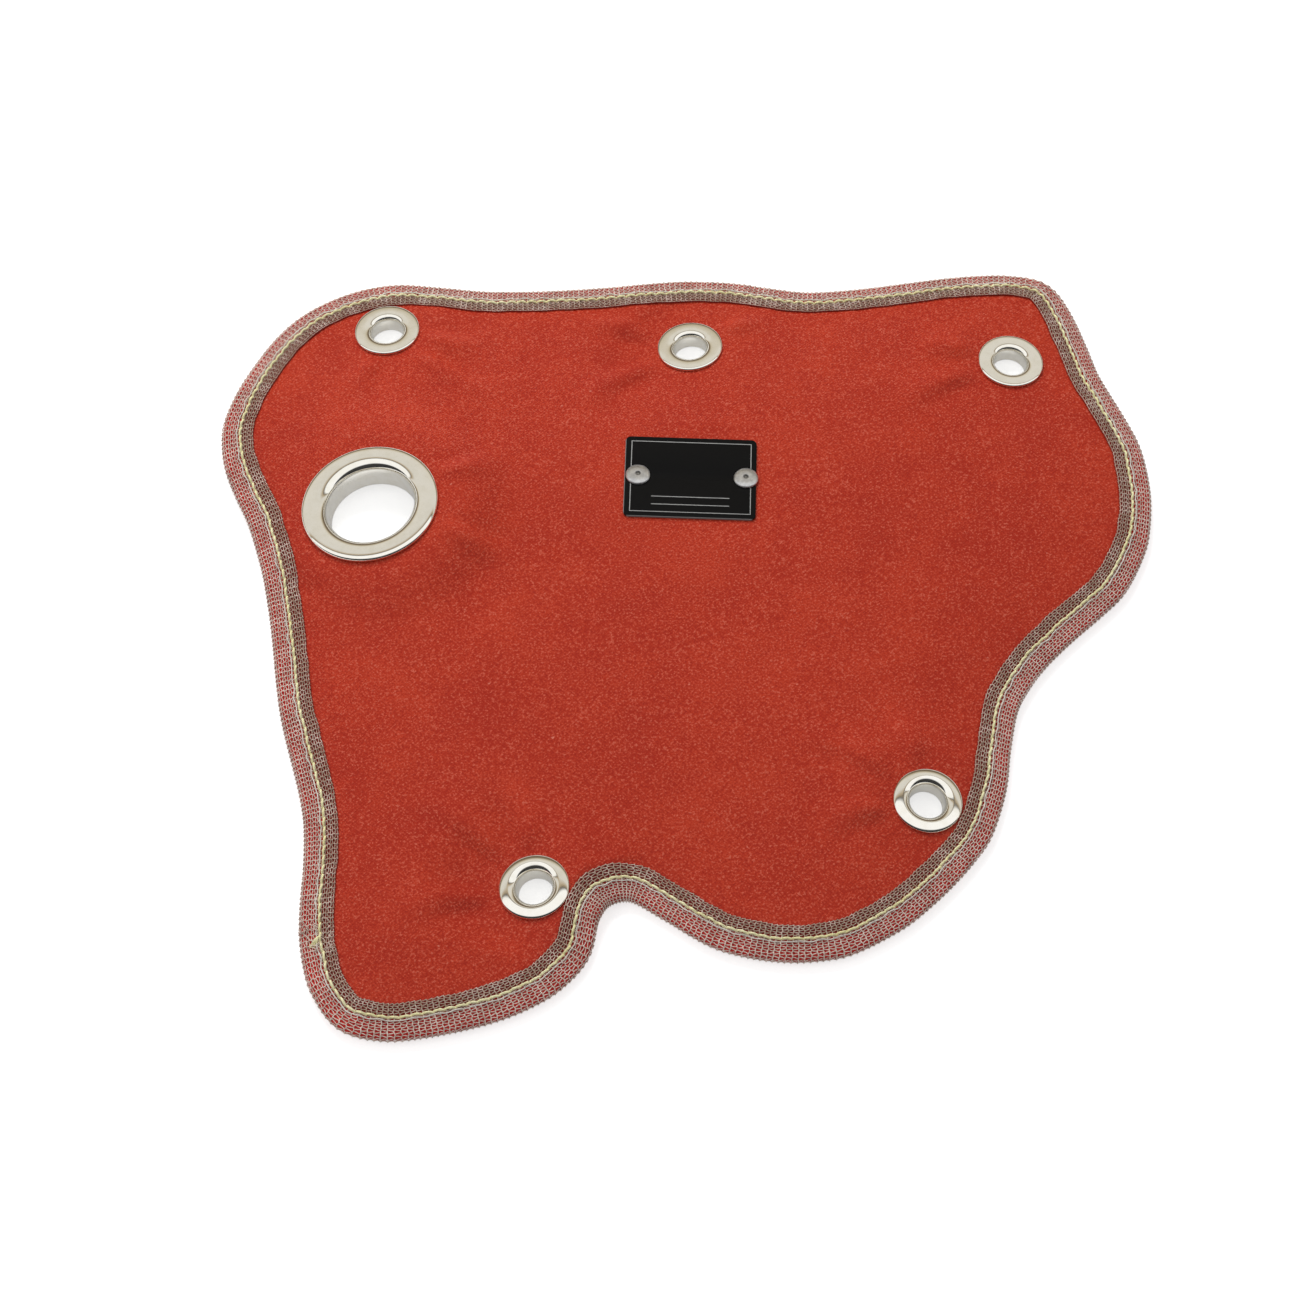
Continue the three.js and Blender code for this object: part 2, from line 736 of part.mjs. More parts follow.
function addEyelets() {
  eyelets.forEach(({ name, size }, i) => {
    const group = eyeletGroups[i];
    const { washerRadius, grip, sides } = size;
    const washer = washerGeometry(washerBore(size), washerRadius, -grip - seatGap, washerThickness, sides);
    addPiece(group, name, eyeletGeometry(size), nickelPlate());
    addPiece(group, `${name}_washer`, washer, nickelPlate());
    blanket.add(group);
  });
}

function addPlate() {
  addPiece(plateGroup, "name_plate", plateGeometry(), blackAnodised());
  rivetPlaces.forEach(([x, y], i) => {
    const side = ["left", "right"][i];
    const { shankRadius, washerRadius } = rivet;
    const bore = shankRadius + rivetHoleClearance;
    const washer = washerGeometry(bore, washerRadius, rivetWasherTop, rivet.washerThickness, rivet.sides);
    const stack = new THREE.Group();
    stack.position.set(x, y, 0);
    addPiece(stack, `plate_rivet_${side}`, rivetGeometry(), aluminium());
    addPiece(stack, `rivet_mandrel_${side}`, mandrelGeometry(), zincSteel());
    addPiece(stack, `rivet_washer_${side}`, washer, aluminium());
    plateGroup.add(stack);
  });
  blanket.add(plateGroup);
}

addPad();
addBinding();
addEyelets();
addPlate();

// The pattern was drawn from a point of its own, so the blanket moves to put its box's middle over the origin
const spanOf = (axis) => stations.map(({ place }) => place[axis]);
const middleOf = (values) => (Math.min(...values) + Math.max(...values)) / 2;
blanket.position.set(-middleOf(spanOf("x")), -middleOf(spanOf("y")), 0);

export default blanket;
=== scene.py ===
import math

import bmesh
import bpy
import numpy as np
from mathutils import Matrix, Vector, noise
from mathutils.bvhtree import BVHTree
from mathutils.geometry import delaunay_2d_cdt


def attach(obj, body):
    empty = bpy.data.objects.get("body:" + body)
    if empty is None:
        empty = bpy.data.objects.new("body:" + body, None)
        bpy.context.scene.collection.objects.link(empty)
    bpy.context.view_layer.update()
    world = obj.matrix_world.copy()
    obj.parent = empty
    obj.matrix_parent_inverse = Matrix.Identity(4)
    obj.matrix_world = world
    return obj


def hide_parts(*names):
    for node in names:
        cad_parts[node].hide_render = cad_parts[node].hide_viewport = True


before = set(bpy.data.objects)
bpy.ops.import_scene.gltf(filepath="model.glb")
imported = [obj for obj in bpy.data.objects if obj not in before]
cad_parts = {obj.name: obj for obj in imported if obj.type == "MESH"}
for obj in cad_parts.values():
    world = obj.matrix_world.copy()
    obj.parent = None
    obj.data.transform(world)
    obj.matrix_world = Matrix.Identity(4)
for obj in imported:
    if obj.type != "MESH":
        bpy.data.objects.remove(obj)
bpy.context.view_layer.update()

mm = 0.001
bpy.context.scene.view_settings.view_transform = "Standard"


# Camera, at the photograph's angle
camera = {
    "lens": 100.5,
    "at": (-0.01327, -0.7723, 1.1358),
    "lookAt": (-0.01327, -0.00624, 0.0),
}


def addCamera():
    data = bpy.data.cameras.new("photoCamera")
    data.lens = camera["lens"]
    data.sensor_width = 36
    holder = bpy.data.objects.new("photoCamera", data)
    bpy.context.collection.objects.link(holder)
    holder.location = camera["at"]
    sight = Vector(camera["lookAt"]) - Vector(camera["at"])
    holder.rotation_euler = sight.to_track_quat("-Z", "Y").to_euler()
    bpy.context.scene.camera = holder


addCamera()


# baseColor as the node's own Base Color
def titled(key):
    return {"baseColor": "Base Color", "specularLevel": "Specular IOR Level"}.get(key, key.title())


# Shader maths: a Socket is one output, and sums on it add Math nodes
class Socket:
    def __init__(self, paint, socket):
        self.paint = paint
        self.socket = socket

    def maths(self, operation, first, second=0.0):
        return self.paint.node("ShaderNodeMath", {"operation": operation}, {0: first, 1: second})

    def __add__(self, other):
        return self.maths("ADD", self, other)

    def __radd__(self, other):
        return self.maths("ADD", other, self)

    def __sub__(self, other):
        return self.maths("SUBTRACT", self, other)

    def __rsub__(self, other):
        return self.maths("SUBTRACT", other, self)

    def __mul__(self, other):
        return self.maths("MULTIPLY", self, other)

    def __rmul__(self, other):
        return self.maths("MULTIPLY", other, self)

    def __truediv__(self, other):
        return self.maths("DIVIDE", self, other)

    def sine(self):
        return self.maths("SINE", self)

    def size(self):
        return self.maths("ABSOLUTE", self)

    # 0 up to low, 1 from high, and smooth between them
    def rise(self, low, high):
        settings = {"interpolation_type": "SMOOTHSTEP"}
        return self.paint.node("ShaderNodeMapRange", settings, {0: self, 1: low, 2: high})


class Paint:
    def __init__(self, name):
        self.material = bpy.data.materials.new(name)
        self.material.use_nodes = True
        self.nodes = self.material.node_tree.nodes
        self.links = self.material.node_tree.links
        self.nodes.clear()

    def node(self, kind, settings=None, inputs=None, output=0):
        made = self.nodes.new(kind)
        for key, value in (settings or {}).items():
            if key == "stops":
                self.setStops(made.color_ramp, value)
            else:
                setattr(made, key, value)
        for key, value in (inputs or {}).items():
            if isinstance(value, Socket):
                self.links.new(value.socket, made.inputs[key])
            else:
                made.inputs[key].default_value = value
        return Socket(self, made.outputs[output])

    def setStops(self, ramp, stops):
        while len(ramp.elements) < len(stops):
            ramp.elements.new(0.5)
        for element, (place, shade) in zip(ramp.elements, stops):
            element.position = place
            element.color = (*shade, 1)

    def place(self, centre=(0, 0, 0), turn=0.0):
        where = self.node("ShaderNodeTexCoord", output=3)
        settings = {"vector_type": "TEXTURE"}
        inputs = {"Vector": where, "Location": centre, "Rotation": (0, 0, turn)}
        return self.node("ShaderNodeMapping", settings, inputs)

    def axes(self, vector):
        split = self.node("ShaderNodeSeparateXYZ", None, {0: vector})
        outputs = split.socket.node.outputs
        return [Socket(self, outputs[axis]) for axis in range(3)]

    # Whether a ray comes from the camera, and whether from a mirror
    def rays(self):
        outputs = self.node("ShaderNodeLightPath").socket.node.outputs
        return [Socket(self, outputs[kind]) for kind in ("Is Camera Ray", "Is Glossy Ray")]

    def cloud(self, where, spacing, detail=2.0, roughness=0.5):
        inputs = {"Vector": where, "Scale": 1 / spacing, "Detail": detail, "Roughness": roughness}
        return self.node("ShaderNodeTexNoise", {"noise_dimensions": "3D"}, inputs)

    def blend(self, share, first, second):
        settings = {"data_type": "RGBA", "blend_type": "MIX"}
        return self.node("ShaderNodeMix", settings, {0: share, 6: first, 7: second}, output=2)

    def relief(self, height, depth, strength=1.0, under=None):
        inputs = {"Height": height, "Distance": depth, "Strength": strength}
        if under is not None:
            inputs["Normal"] = under
        return self.node("ShaderNodeBump", None, inputs)

    def finish(self, **sockets):
        inputs = {titled(key): value for key, value in sockets.items()}
        shader = self.node("ShaderNodeBsdfPrincipled", None, inputs)
        end = self.nodes.new("ShaderNodeOutputMaterial")
        self.links.new(shader.socket, end.inputs["Surface"])
        return self.material


# A colour as a paint chart gives it, from 0 to 255
def shade(red, green, blue):
    def linear(level):
        level /= 255
        return level / 12.92 if level <= 0.04045 else ((level + 0.055) / 1.055) ** 2.4

    return (linear(red), linear(green), linear(blue), 1.0)


# Red silicone-coated glass cloth, with a pale pink painted sheen that its glints and specks are blended
# towards
redCloth = {
    "colour": shade(193, 58, 30),
    "deep": shade(168, 38, 18),
    # pale pink of the painted sheen, for the painted glints and specks
    "paintedSheen": shade(222, 132, 112),
    "yarn": 0.72 * mm,
    "drift": 11 * mm,
    "grain": 0.9 * mm,
    "mottle": 26 * mm,
    "sparkle": 2.6 * mm,
    "roughness": 0.48,
}


def makeRedCloth():
    paint = Paint("redCoatedCloth")
    where = paint.place()
    x, y = paint.axes(where)[:2]
    drift = (paint.cloud(where, redCloth["drift"]) - 0.5) * 7
    warp = (x / redCloth["yarn"] * math.pi + drift).sine()
    weft = (y / redCloth["yarn"] * math.pi - drift).sine()
    weave = warp * weft
    grain = paint.cloud(where, redCloth["grain"], 3, 0.7)
    mottle = paint.cloud(where, redCloth["mottle"], 4, 0.6)
    glint = paint.cloud(where, redCloth["grain"], 2, 0.75).rise(0.52, 0.7)
    sparkle = paint.cloud(where, redCloth["sparkle"], 1).rise(0.79, 0.83)
    tone = (mottle - 0.5) * 1.2 + (grain - 0.5) * 3.8 + weave * 0.08 + 0.5
    colour = paint.blend(tone.rise(0.0, 1.0), redCloth["deep"], redCloth["colour"])
    # Fine glints and scattered specks are painted highlights: they lift the red towards the pale painted
    # sheen colour
    colour = paint.blend(glint * 0.4 + sparkle * 0.6, colour, redCloth["paintedSheen"])
    roughness = redCloth["roughness"] + (grain - 0.5) * 0.3
    weaveBump = paint.relief(weave * 0.35 + grain * 1.6, 0.2 * mm, 0.8)
    normal = paint.relief(mottle, 1.6 * mm, 0.4, weaveBump)
    return paint.finish(baseColor=colour, roughness=roughness, normal=normal, specularLevel=0.26)


# Plain woven silica cloth
silicaCloth = {"colour": shade(217, 205, 180), "shadow": shade(176, 160, 132), "yarn": 1.1 * mm}


def makeSilicaCloth():
    paint = Paint("wovenSilicaCloth")
    where = paint.place()
    x, y = paint.axes(where)[:2]
    drift = (paint.cloud(where, 14 * mm) - 0.5) * 2
    warp = (x / silicaCloth["yarn"] * math.pi + drift).sine()
    weave = warp * (y / silicaCloth["yarn"] * math.pi).sine()
    grain = paint.cloud(where, 0.7 * mm, 3, 0.6)
    mottle = paint.cloud(where, 35 * mm, 3)
    tone = weave.size() * 0.55 + grain * 0.35 + (mottle - 0.5) * 0.5 + 0.1
    colour = paint.blend(tone.rise(0.0, 1.0), silicaCloth["shadow"], silicaCloth["colour"])
    normal = paint.relief(weave.size() + grain * 0.4, 0.25 * mm, 0.8)
    return paint.finish(baseColor=colour, roughness=0.9, normal=normal, specularLevel=0.25)


# Needled ceramic wool
wool = {"colour": shade(236, 230, 214), "shadow": shade(205, 196, 172)}


def makeWool():
    paint = Paint("needledWool")
    where = paint.place()
    tuft = paint.cloud(where, 3 * mm, 5, 0.7)
    colour = paint.blend(tuft.rise(0.3, 0.7), wool["shadow"], wool["colour"])
    normal = paint.relief(tuft, 0.6 * mm, 0.8)
    return paint.finish(baseColor=colour, roughness=1.0, normal=normal, specularLevel=0.1)


# Cloth under the knitted wire: red outside the seam, and darker inside it, where the darker red is painted
# shade in the holes of the knit
tapeCloth = {
    "colour": shade(228, 66, 58),
    "deep": shade(180, 42, 38),
    # darker red of the inner leg, painted shade in the knit's holes
    "inner": shade(138, 44, 38),
}


def makeTapeCloth():
    paint = Paint("tapeGroundCloth")
    where = paint.place()
    grain = paint.cloud(where, 1.1 * mm, 3, 0.6)
    mottle = paint.cloud(where, 12 * mm, 2)
    tone = grain * 0.6 + mottle * 0.4
    inner = paint.node("ShaderNodeAttribute", {"attribute_name": "innerLeg"}, output=2)
    colour = paint.blend(tone.rise(0.3, 0.7), tapeCloth["deep"], tapeCloth["colour"])
    # The inner leg's darker red is painted shade in the knit's holes
    colour = paint.blend(inner, colour, tapeCloth["inner"])
    normal = paint.relief(grain, 0.2 * mm, 0.6)
    return paint.finish(baseColor=colour, roughness=0.65, normal=normal, specularLevel=0.3)


# Knitted stainless wire, dulled to a beige grey
wire = {
    "colour": shade(250, 232, 220),
    "dull": shade(210, 188, 174),
    "inner": shade(184, 158, 138),
    "roughness": 0.4,
}


def makeWire():
    paint = Paint("knittedWire")
    where = paint.place()
    patch = paint.cloud(where, 5 * mm, 3)
    fleck = paint.cloud(where, 0.8 * mm, 2)
    colour = paint.blend((patch * 0.5 + fleck * 0.5).rise(0.35, 0.65), wire["dull"], wire["colour"])
    inner = paint.node("ShaderNodeAttribute", {"attribute_name": "innerLeg"}, output=2)
    dulled = inner * (1 - fleck.rise(0.45, 0.6) * 0.5) * (1 - patch.rise(0.5, 0.62) * 0.6)
    colour = paint.blend(dulled, colour, wire["inner"])
    roughness = wire["roughness"] + (patch - 0.5) * 0.3
    return paint.finish(baseColor=colour, roughness=roughness, metallic=0.25)


# Spun aramid sewing thread, pale cream-yellow, and the whiter thread beside it
aramid = {"colour": shade(252, 248, 208), "shadow": shade(234, 224, 162)}
tacking = {"colour": shade(240, 234, 226), "shadow": shade(206, 196, 186)}


def makeThread(name, tones):
    paint = Paint(name)
    where = paint.place()
    fibre = paint.cloud(where, 0.35 * mm, 3, 0.7)
    drift = paint.cloud(where, 18 * mm, 2)
    colour = paint.blend((fibre * 0.6 + drift * 0.4).rise(0.3, 0.7), tones["shadow"], tones["colour"])
    normal = paint.relief(fibre, 0.1 * mm, 0.7)
    return paint.finish(baseColor=colour, roughness=0.8, normal=normal, specularLevel=0.25)


# Bright nickel plate with a warm cast
nickel = {"colour": shade(249, 246, 239), "worn": shade(243, 239, 229), "roughness": 0.08}


def makeNickel():
    paint = Paint("nickelPlate")
    where = paint.place()
    haze = paint.cloud(where, 4 * mm, 4, 0.6)
    colour = paint.blend(haze.rise(0.35, 0.75), nickel["colour"], nickel["worn"])
    roughness = nickel["roughness"] + (haze - 0.5).size() * 0.08
    normal = paint.relief(paint.cloud(where, 2.2 * mm, 2), 0.03 * mm, 0.06)
    return paint.finish(baseColor=colour, roughness=roughness, metallic=1.0, normal=normal)


# Bright drawn aluminium of the rivets, and the broken steel stem
aluminium = {"dark": shade(196, 196, 198), "light": shade(222, 222, 222), "haze": 1.5 * mm}
steel = {"dark": shade(96, 94, 92), "light": shade(160, 158, 154), "facets": 0.5 * mm}


def makeAluminium():
    paint = Paint("rivetAluminium")
    haze = paint.cloud(paint.place(), aluminium["haze"], 3)
    colour = paint.blend(haze.rise(0.3, 0.7), aluminium["dark"], aluminium["light"])
    normal = paint.relief(haze, 0.08 * mm, 0.3)
    return paint.finish(baseColor=colour, roughness=0.3 + haze * 0.15, metallic=1.0, normal=normal)


def makeSteel():
    paint = Paint("brokenSteelStem")
    facets = paint.cloud(paint.place(), steel["facets"], 3, 0.7)
    colour = paint.blend(facets.rise(0.3, 0.7), steel["dark"], steel["light"])
    normal = paint.relief(facets, 0.2 * mm, 0.8)
    return paint.finish(baseColor=colour, roughness=0.5, metallic=0.9, normal=normal)


redPaint = makeRedCloth()
silicaPaint = makeSilicaCloth()
woolPaint = makeWool()
tapePaint = makeTapeCloth()
wirePaint = makeWire()
aramidPaint = makeThread("aramidThread", aramid)
tackingPaint = makeThread("tackingThread", tacking)
nickelPaint = makeNickel()
aluminiumPaint = makeAluminium()
steelPaint = makeSteel()
print("materials are mixed")


# Number helpers
def unit(vectors):
    return vectors / np.maximum(np.linalg.norm(vectors, axis=-1, keepdims=True), 1e-12)


def smoothStep(low, high, value):
    t = np.clip((value - low) / (high - low), 0, 1)
    return t * t * (3 - 2 * t)


# Mesh helpers
def deselectAll():
    if bpy.context.object and bpy.context.object.mode != "OBJECT":
        bpy.ops.object.mode_set(mode="OBJECT")
    bpy.ops.object.select_all(action="DESELECT")


def selectOnly(piece):
    deselectAll()
    piece.select_set(True)
    bpy.context.view_layer.objects.active = piece


def addMesh(name, corners, faceLists):
    mesh = bpy.data.meshes.new(name)
    corners = np.asarray(corners, np.float32).reshape(-1, 3)
    faceLists = [np.asarray(faces, np.int32) for faces in faceLists if len(faces)]
    sizes = np.concatenate([np.full(len(faces), faces.shape[1], np.int32) for faces in faceLists])
    flat = np.concatenate([faces.ravel() for faces in faceLists])
    mesh.vertices.add(len(corners))
    mesh.vertices.foreach_set("co", corners.ravel())
    mesh.loops.add(len(flat))
    mesh.loops.foreach_set("vertex_index", flat)
    mesh.polygons.add(len(sizes))
    mesh.polygons.foreach_set("loop_start", np.concatenate([[0], np.cumsum(sizes)[:-1]]).astype(np.int32))
    mesh.polygons.foreach_set("loop_total", sizes)
    mesh.update(calc_edges=True)
    mesh.polygons.foreach_set("use_smooth", np.ones(len(sizes), bool))
    piece = bpy.data.objects.new(name, mesh)
    bpy.context.collection.objects.link(piece)
    return piece


def dress(piece, paint, slot, *nodes):
    piece.data.materials.clear()
    piece.data.materials.append(paint)
    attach(piece, "root")
    if nodes:
        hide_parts(*nodes)
    return piece


# A CAD node's corners, each once
def cornersOf(node):
    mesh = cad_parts[node].data
    corners = np.empty(len(mesh.vertices) * 3)
    mesh.vertices.foreach_get("co", corners)
    return np.unique(np.round(corners.reshape(-1, 3), 7), axis=0)


def surfaceOf(node):
    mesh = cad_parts[node].data
    return BVHTree.FromPolygons([v.co for v in mesh.vertices], [p.vertices for p in mesh.polygons])


def castDown(surface, x, y, height=0.1):
    hit = surface.ray_cast(Vector((x, y, height)), Vector((0, 0, -1)))[0]
    return hit.z if hit else None


def castUp(surface, x, y):
    hit = surface.ray_cast(Vector((x, y, -0.1)), Vector((0, 0, 1)))[0]
    return hit.z if hit else None


# Edge binding: the knitted tape's section, read off the solid at each of its stations
binding = {
    "leg": 12.8 * mm,
    "foldDepth": 2.4 * mm,
    "seamInset": 7.8 * mm,
    "faceLoops": 6,
    "foldLoops": 3,
    "backLoops": 5,
    "crowding": 1.04,
    "courseSpacing": 2.05 * mm,
    "grooveDepth": 0.5 * mm,
    "grooveWidth": 1.1 * mm,
    "stitch": 4.0 * mm,
    "wander": 0.35 * mm,
}
seamStep = 0.4 * mm


def seamStations():
    mesh = bmesh.new()
    mesh.from_mesh(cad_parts["face_seam_thread"].data)
    bmesh.ops.remove_doubles(mesh, verts=mesh.verts, dist=1e-6)
    section = 1.0 * mm

    def isCrest(v):
        near = [e.other_vert(v) for e in v.link_edges if e.calc_length() < section]
        return bool(near) and all(other.co.z < v.co.z for other in near)

    crests = {v for v in mesh.verts if isCrest(v)}
    walk = [min(crests, key=lambda v: v.co.x)]
    while True:
        onward = [e.other_vert(walk[-1]) for e in walk[-1].link_edges]
        onward = [v for v in onward if v in crests and v not in walk]
        if not onward:
            break
        walk.append(onward[0])
    stations = np.array([v.co[:] for v in walk])
    mesh.free()
    x, y = stations[:, 0], stations[:, 1]
    if np.sum(x * np.roll(y, -1) - np.roll(x, -1) * y) > 0:
        stations = stations[::-1]
    return stations


# Catmull-Rom round a closed ring, with its values at evenly spaced arc lengths
def roundRing(knots, values, step):
    share = np.linspace(0, 1, 40, endpoint=False)[:, None]

    def through(points):
        before, after, beyond = np.roll(points, 1, 0), np.roll(points, -1, 0), np.roll(points, -2, 0)
        a, b, c, d = before[:, None], points[:, None], after[:, None], beyond[:, None]
        t = share[None]
        squared = (2 * a - 5 * b + 4 * c - d) * t**2
        dense = 0.5 * (2 * b + (c - a) * t + squared + (3 * b - a - 3 * c + d) * t**3)
        return dense.reshape(-1, points.shape[1])

    line = through(knots)
    extra = through(values)
    gaps = np.linalg.norm(np.roll(line, -1, 0) - line, axis=1)
    length = gaps.sum()
    reach = np.concatenate([[0], np.cumsum(gaps)])
    count = int(round(length / step))
    places = np.arange(count) * length / count
    closed = np.vstack([line, line[:1]])
    closedExtra = np.vstack([extra, extra[:1]])
    line = np.stack([np.interp(places, reach, closed[:, k]) for k in range(2)], 1)
    extra = np.stack([np.interp(places, reach, closedExtra[:, k]) for k in range(extra.shape[1])], 1)
    return line, extra, length


def smoothRing(values, passes):
    for _ in range(passes):
        values = 0.25 * np.roll(values, 1, 0) + 0.5 * values + 0.25 * np.roll(values, -1, 0)
    return values


def readBinding():
    stations = seamStations()
    tape = surfaceOf("edge_binding")
    along = unit(np.roll(stations[:, :2], -1, 0) - np.roll(stations[:, :2], 1, 0))
    inward = np.stack([along[:, 1], -along[:, 0]], 1)
    heights = []
    for (x, y), (nx, ny) in zip(stations[:, :2], inward):
        row = []
        for inset in (binding["foldDepth"] + 0.3 * mm, binding["leg"] - 0.5 * mm):
            offset = inset - binding["seamInset"]
            row.append(castDown(tape, x + nx * offset, y + ny * offset))
        heights.append(row)
    heights = np.array(heights, float)
    known = ~np.isnan(heights)
    for k in range(2):
        heights[~known[:, k], k] = np.interp(
            np.flatnonzero(~known[:, k]), np.flatnonzero(known[:, k]), heights[known[:, k], k]
        )
    seam, heights, length = roundRing(stations[:, :2], heights, seamStep)
    ahead = np.roll(seam, -3, 0) - np.roll(seam, 3, 0)
    ahead = unit(smoothRing(unit(ahead), 8))
    inward = np.stack([ahead[:, 1], -ahead[:, 0]], 1)
    return np.hstack([seam, inward, smoothRing(heights, 12)]), length


seamRing, seamLength = readBinding()
print("seam length", round(seamLength, 4), "stations", len(seamRing))


def ringAt(s):
    place = np.asarray(s, float) / seamLength * len(seamRing)
    low = np.floor(place).astype(int)
    part = (place - low)[..., None]
    return seamRing[low % len(seamRing)] * (1 - part) + seamRing[(low + 1) % len(seamRing)] * part


# Slow waves round the ring, which close on themselves
def ringWave(s, waves, seed):
    start = np.random.default_rng(seed).uniform(0, 2 * np.pi, len(waves))
    turns = [np.sin(2 * np.pi * count * s / seamLength + phase) for count, phase in zip(waves, start)]
    return sum(turns) / len(waves)


def seamDip(s, inset):
    stitch = 0.7 + 0.3 * np.cos(2 * np.pi * s / stitchPitch)
    dip = np.exp(-(((inset - binding["seamInset"]) / binding["grooveWidth"]) ** 2))
    return binding["grooveDepth"] * dip * stitch


stitchCount = int(round(seamLength / binding["stitch"]))
stitchPitch = seamLength / stitchCount
tapeRun = binding["leg"] - binding["foldDepth"]
foldStart = binding["faceLoops"]
backStart = foldStart + binding["foldLoops"]
acrossLoops = backStart + binding["backLoops"]


def acrossOf(inset):
    share = (binding["leg"] - np.asarray(inset, float)) / tapeRun
    return foldStart * share ** (1 / binding["crowding"])


# A point of the folded tape: along the seam, across it in loops from its edge on the face, and lifted off it
def tapePoint(s, across, lift):
    s, across, lift = np.broadcast_arrays(np.asarray(s, float), across, lift)
    x, y, inX, inY, edgeTop, endTop = np.moveaxis(ringAt(s), -1, 0)
    slope = (endTop - edgeTop) / tapeRun
    faceShare = np.clip(across / foldStart, 0, 1) ** binding["crowding"]
    foldShare = np.clip((across - foldStart) / binding["foldLoops"], 0, 1)
    backShare = np.clip((across - backStart) / binding["backLoops"], 0, 1)
    turn = math.pi * (0.5 - foldShare)
    edgeWander = binding["wander"] * ringWave(s, (29, 47, 83, 121), 3)
    onFace = across <= foldStart
    onBack = across >= backStart
    faceInset = binding["leg"] - tapeRun * faceShare + edgeWander * (1 - faceShare)
    backInset = binding["foldDepth"] + tapeRun * backShare
    foldInset = binding["foldDepth"] * (1 - np.cos(turn))
    inset = np.where(onFace, faceInset, np.where(onBack, backInset, foldInset))
    faceHeight = edgeTop + slope * (inset - binding["foldDepth"]) - seamDip(s, inset)
    foldHeight = edgeTop / 2 * (1 + np.sin(turn))
    backHeight = seamDip(s, inset) * 0.6
    height = np.where(onFace, faceHeight, np.where(onBack, backHeight, foldHeight))
    outIn = np.where(onFace, -slope, np.where(onBack, 0, -np.cos(turn) / binding["foldDepth"]))
    outUp = np.where(onFace, 1, np.where(onBack, -1, np.sin(turn) / (edgeTop / 2)))
    size = np.hypot(outIn, outUp)
    outIn, outUp = outIn / size, outUp / size
    offset = inset - binding["seamInset"] + outIn * lift
    return np.stack([x + inX * offset, y + inY * offset, height + outUp * lift], -1)


# Tubes that follow the tape at a lift, of one radius or of one for each corner, closed at both ends
def addTubes(name, s, across, lift, radius, sides):
    paths = tapePoint(s, across, lift)
    up = unit(tapePoint(s, across, lift + 0.1 * mm) - paths)
    count, steps = paths.shape[:2]
    along = unit(np.gradient(paths, axis=1))
    side = unit(np.cross(along, up))
    over = np.cross(side, along)
    turn = 2 * np.pi * np.arange(sides) / sides
    ring = side[:, :, None] * np.cos(turn)[:, None] + over[:, :, None] * np.sin(turn)[:, None]
    if np.ndim(radius) < 3:
        radius = np.broadcast_to(radius, (count, steps))[..., None]
    corners = paths[:, :, None] + ring * radius[..., None]
    index = np.arange(count * steps * sides).reshape(count, steps, sides)
    here, there = index[:, :-1], index[:, 1:]
    around = np.roll(np.arange(sides), -1)
    quads = np.stack([here, here[..., around], there[..., around], there], -1).reshape(-1, 4)
    return addMesh(name, corners, [quads, np.concatenate([index[:, 0, ::-1], index[:, -1]])])


knit = {
    "wireRadius": 0.21 * mm,
    "sides": 4,
    "stepsPerLoop": 8,
    "loopHeight": 0.58,
    "loopRoundness": 0.24,
    "loopDepth": 0.24 * mm,
    "skew": 0.7,
    "uneven": 0.12,
    "endTuck": 0.45 * mm,
    "lift": -0.3 * mm,
    "pieces": 4,
}


# Marks each corner that lies inside the seam, for the paint
def markInnerLeg(piece, across):
    seamAcross = acrossOf(binding["seamInset"])
    inner = 1 - smoothStep(seamAcross - 0.6, seamAcross + 0.6, across)
    leg = piece.data.attributes.new("innerLeg", "FLOAT", "POINT")
    leg.data.foreach_set("value", inner.astype(np.float32).ravel())


# Each course of the knit is one wire that runs across the tape and round its fold
def addKnit():
    courses = int(round(seamLength / binding["courseSpacing"]))
    pitch = seamLength / courses
    steps = acrossLoops * knit["stepsPerLoop"] + 1
    turn = np.linspace(0, 2 * np.pi * acrossLoops, steps)
    loop = turn / (2 * np.pi)
    shares = np.array_split(np.arange(courses), knit["pieces"])
    pieces = []
    for number, share in enumerate(shares, 1):
        first = share[:, None] * pitch
        skew = knit["skew"] * ringWave(first, (9, 17, 31), 5)
        uneven = 1 + knit["uneven"] * ringWave(first, (61, 97, 151), 8)
        reach = knit["loopHeight"] * pitch * np.cos(turn) * uneven
        s = first + reach + skew * (loop / acrossLoops - 0.3) * pitch
        across = np.clip(loop + knit["loopRoundness"] * np.sin(2 * turn) + 0 * s, 0, acrossLoops)
        end = np.clip(np.minimum(loop, acrossLoops - loop) / 0.5, 0, 1)
        lift = knit["lift"] + knit["loopDepth"] * np.cos(2 * turn) - knit["endTuck"] * (1 - end) + 0 * s
        piece = addTubes(f"knitted_wire_{number}", s, across, lift, knit["wireRadius"], knit["sides"])
        markInnerLeg(piece, np.repeat(across.ravel(), knit["sides"]))
        pieces.append(piece)
    print("courses of the knit", courses)
    return pieces


ground = {"lift": -0.74 * mm, "thickness": 0.35 * mm, "step": 2.4 * mm}


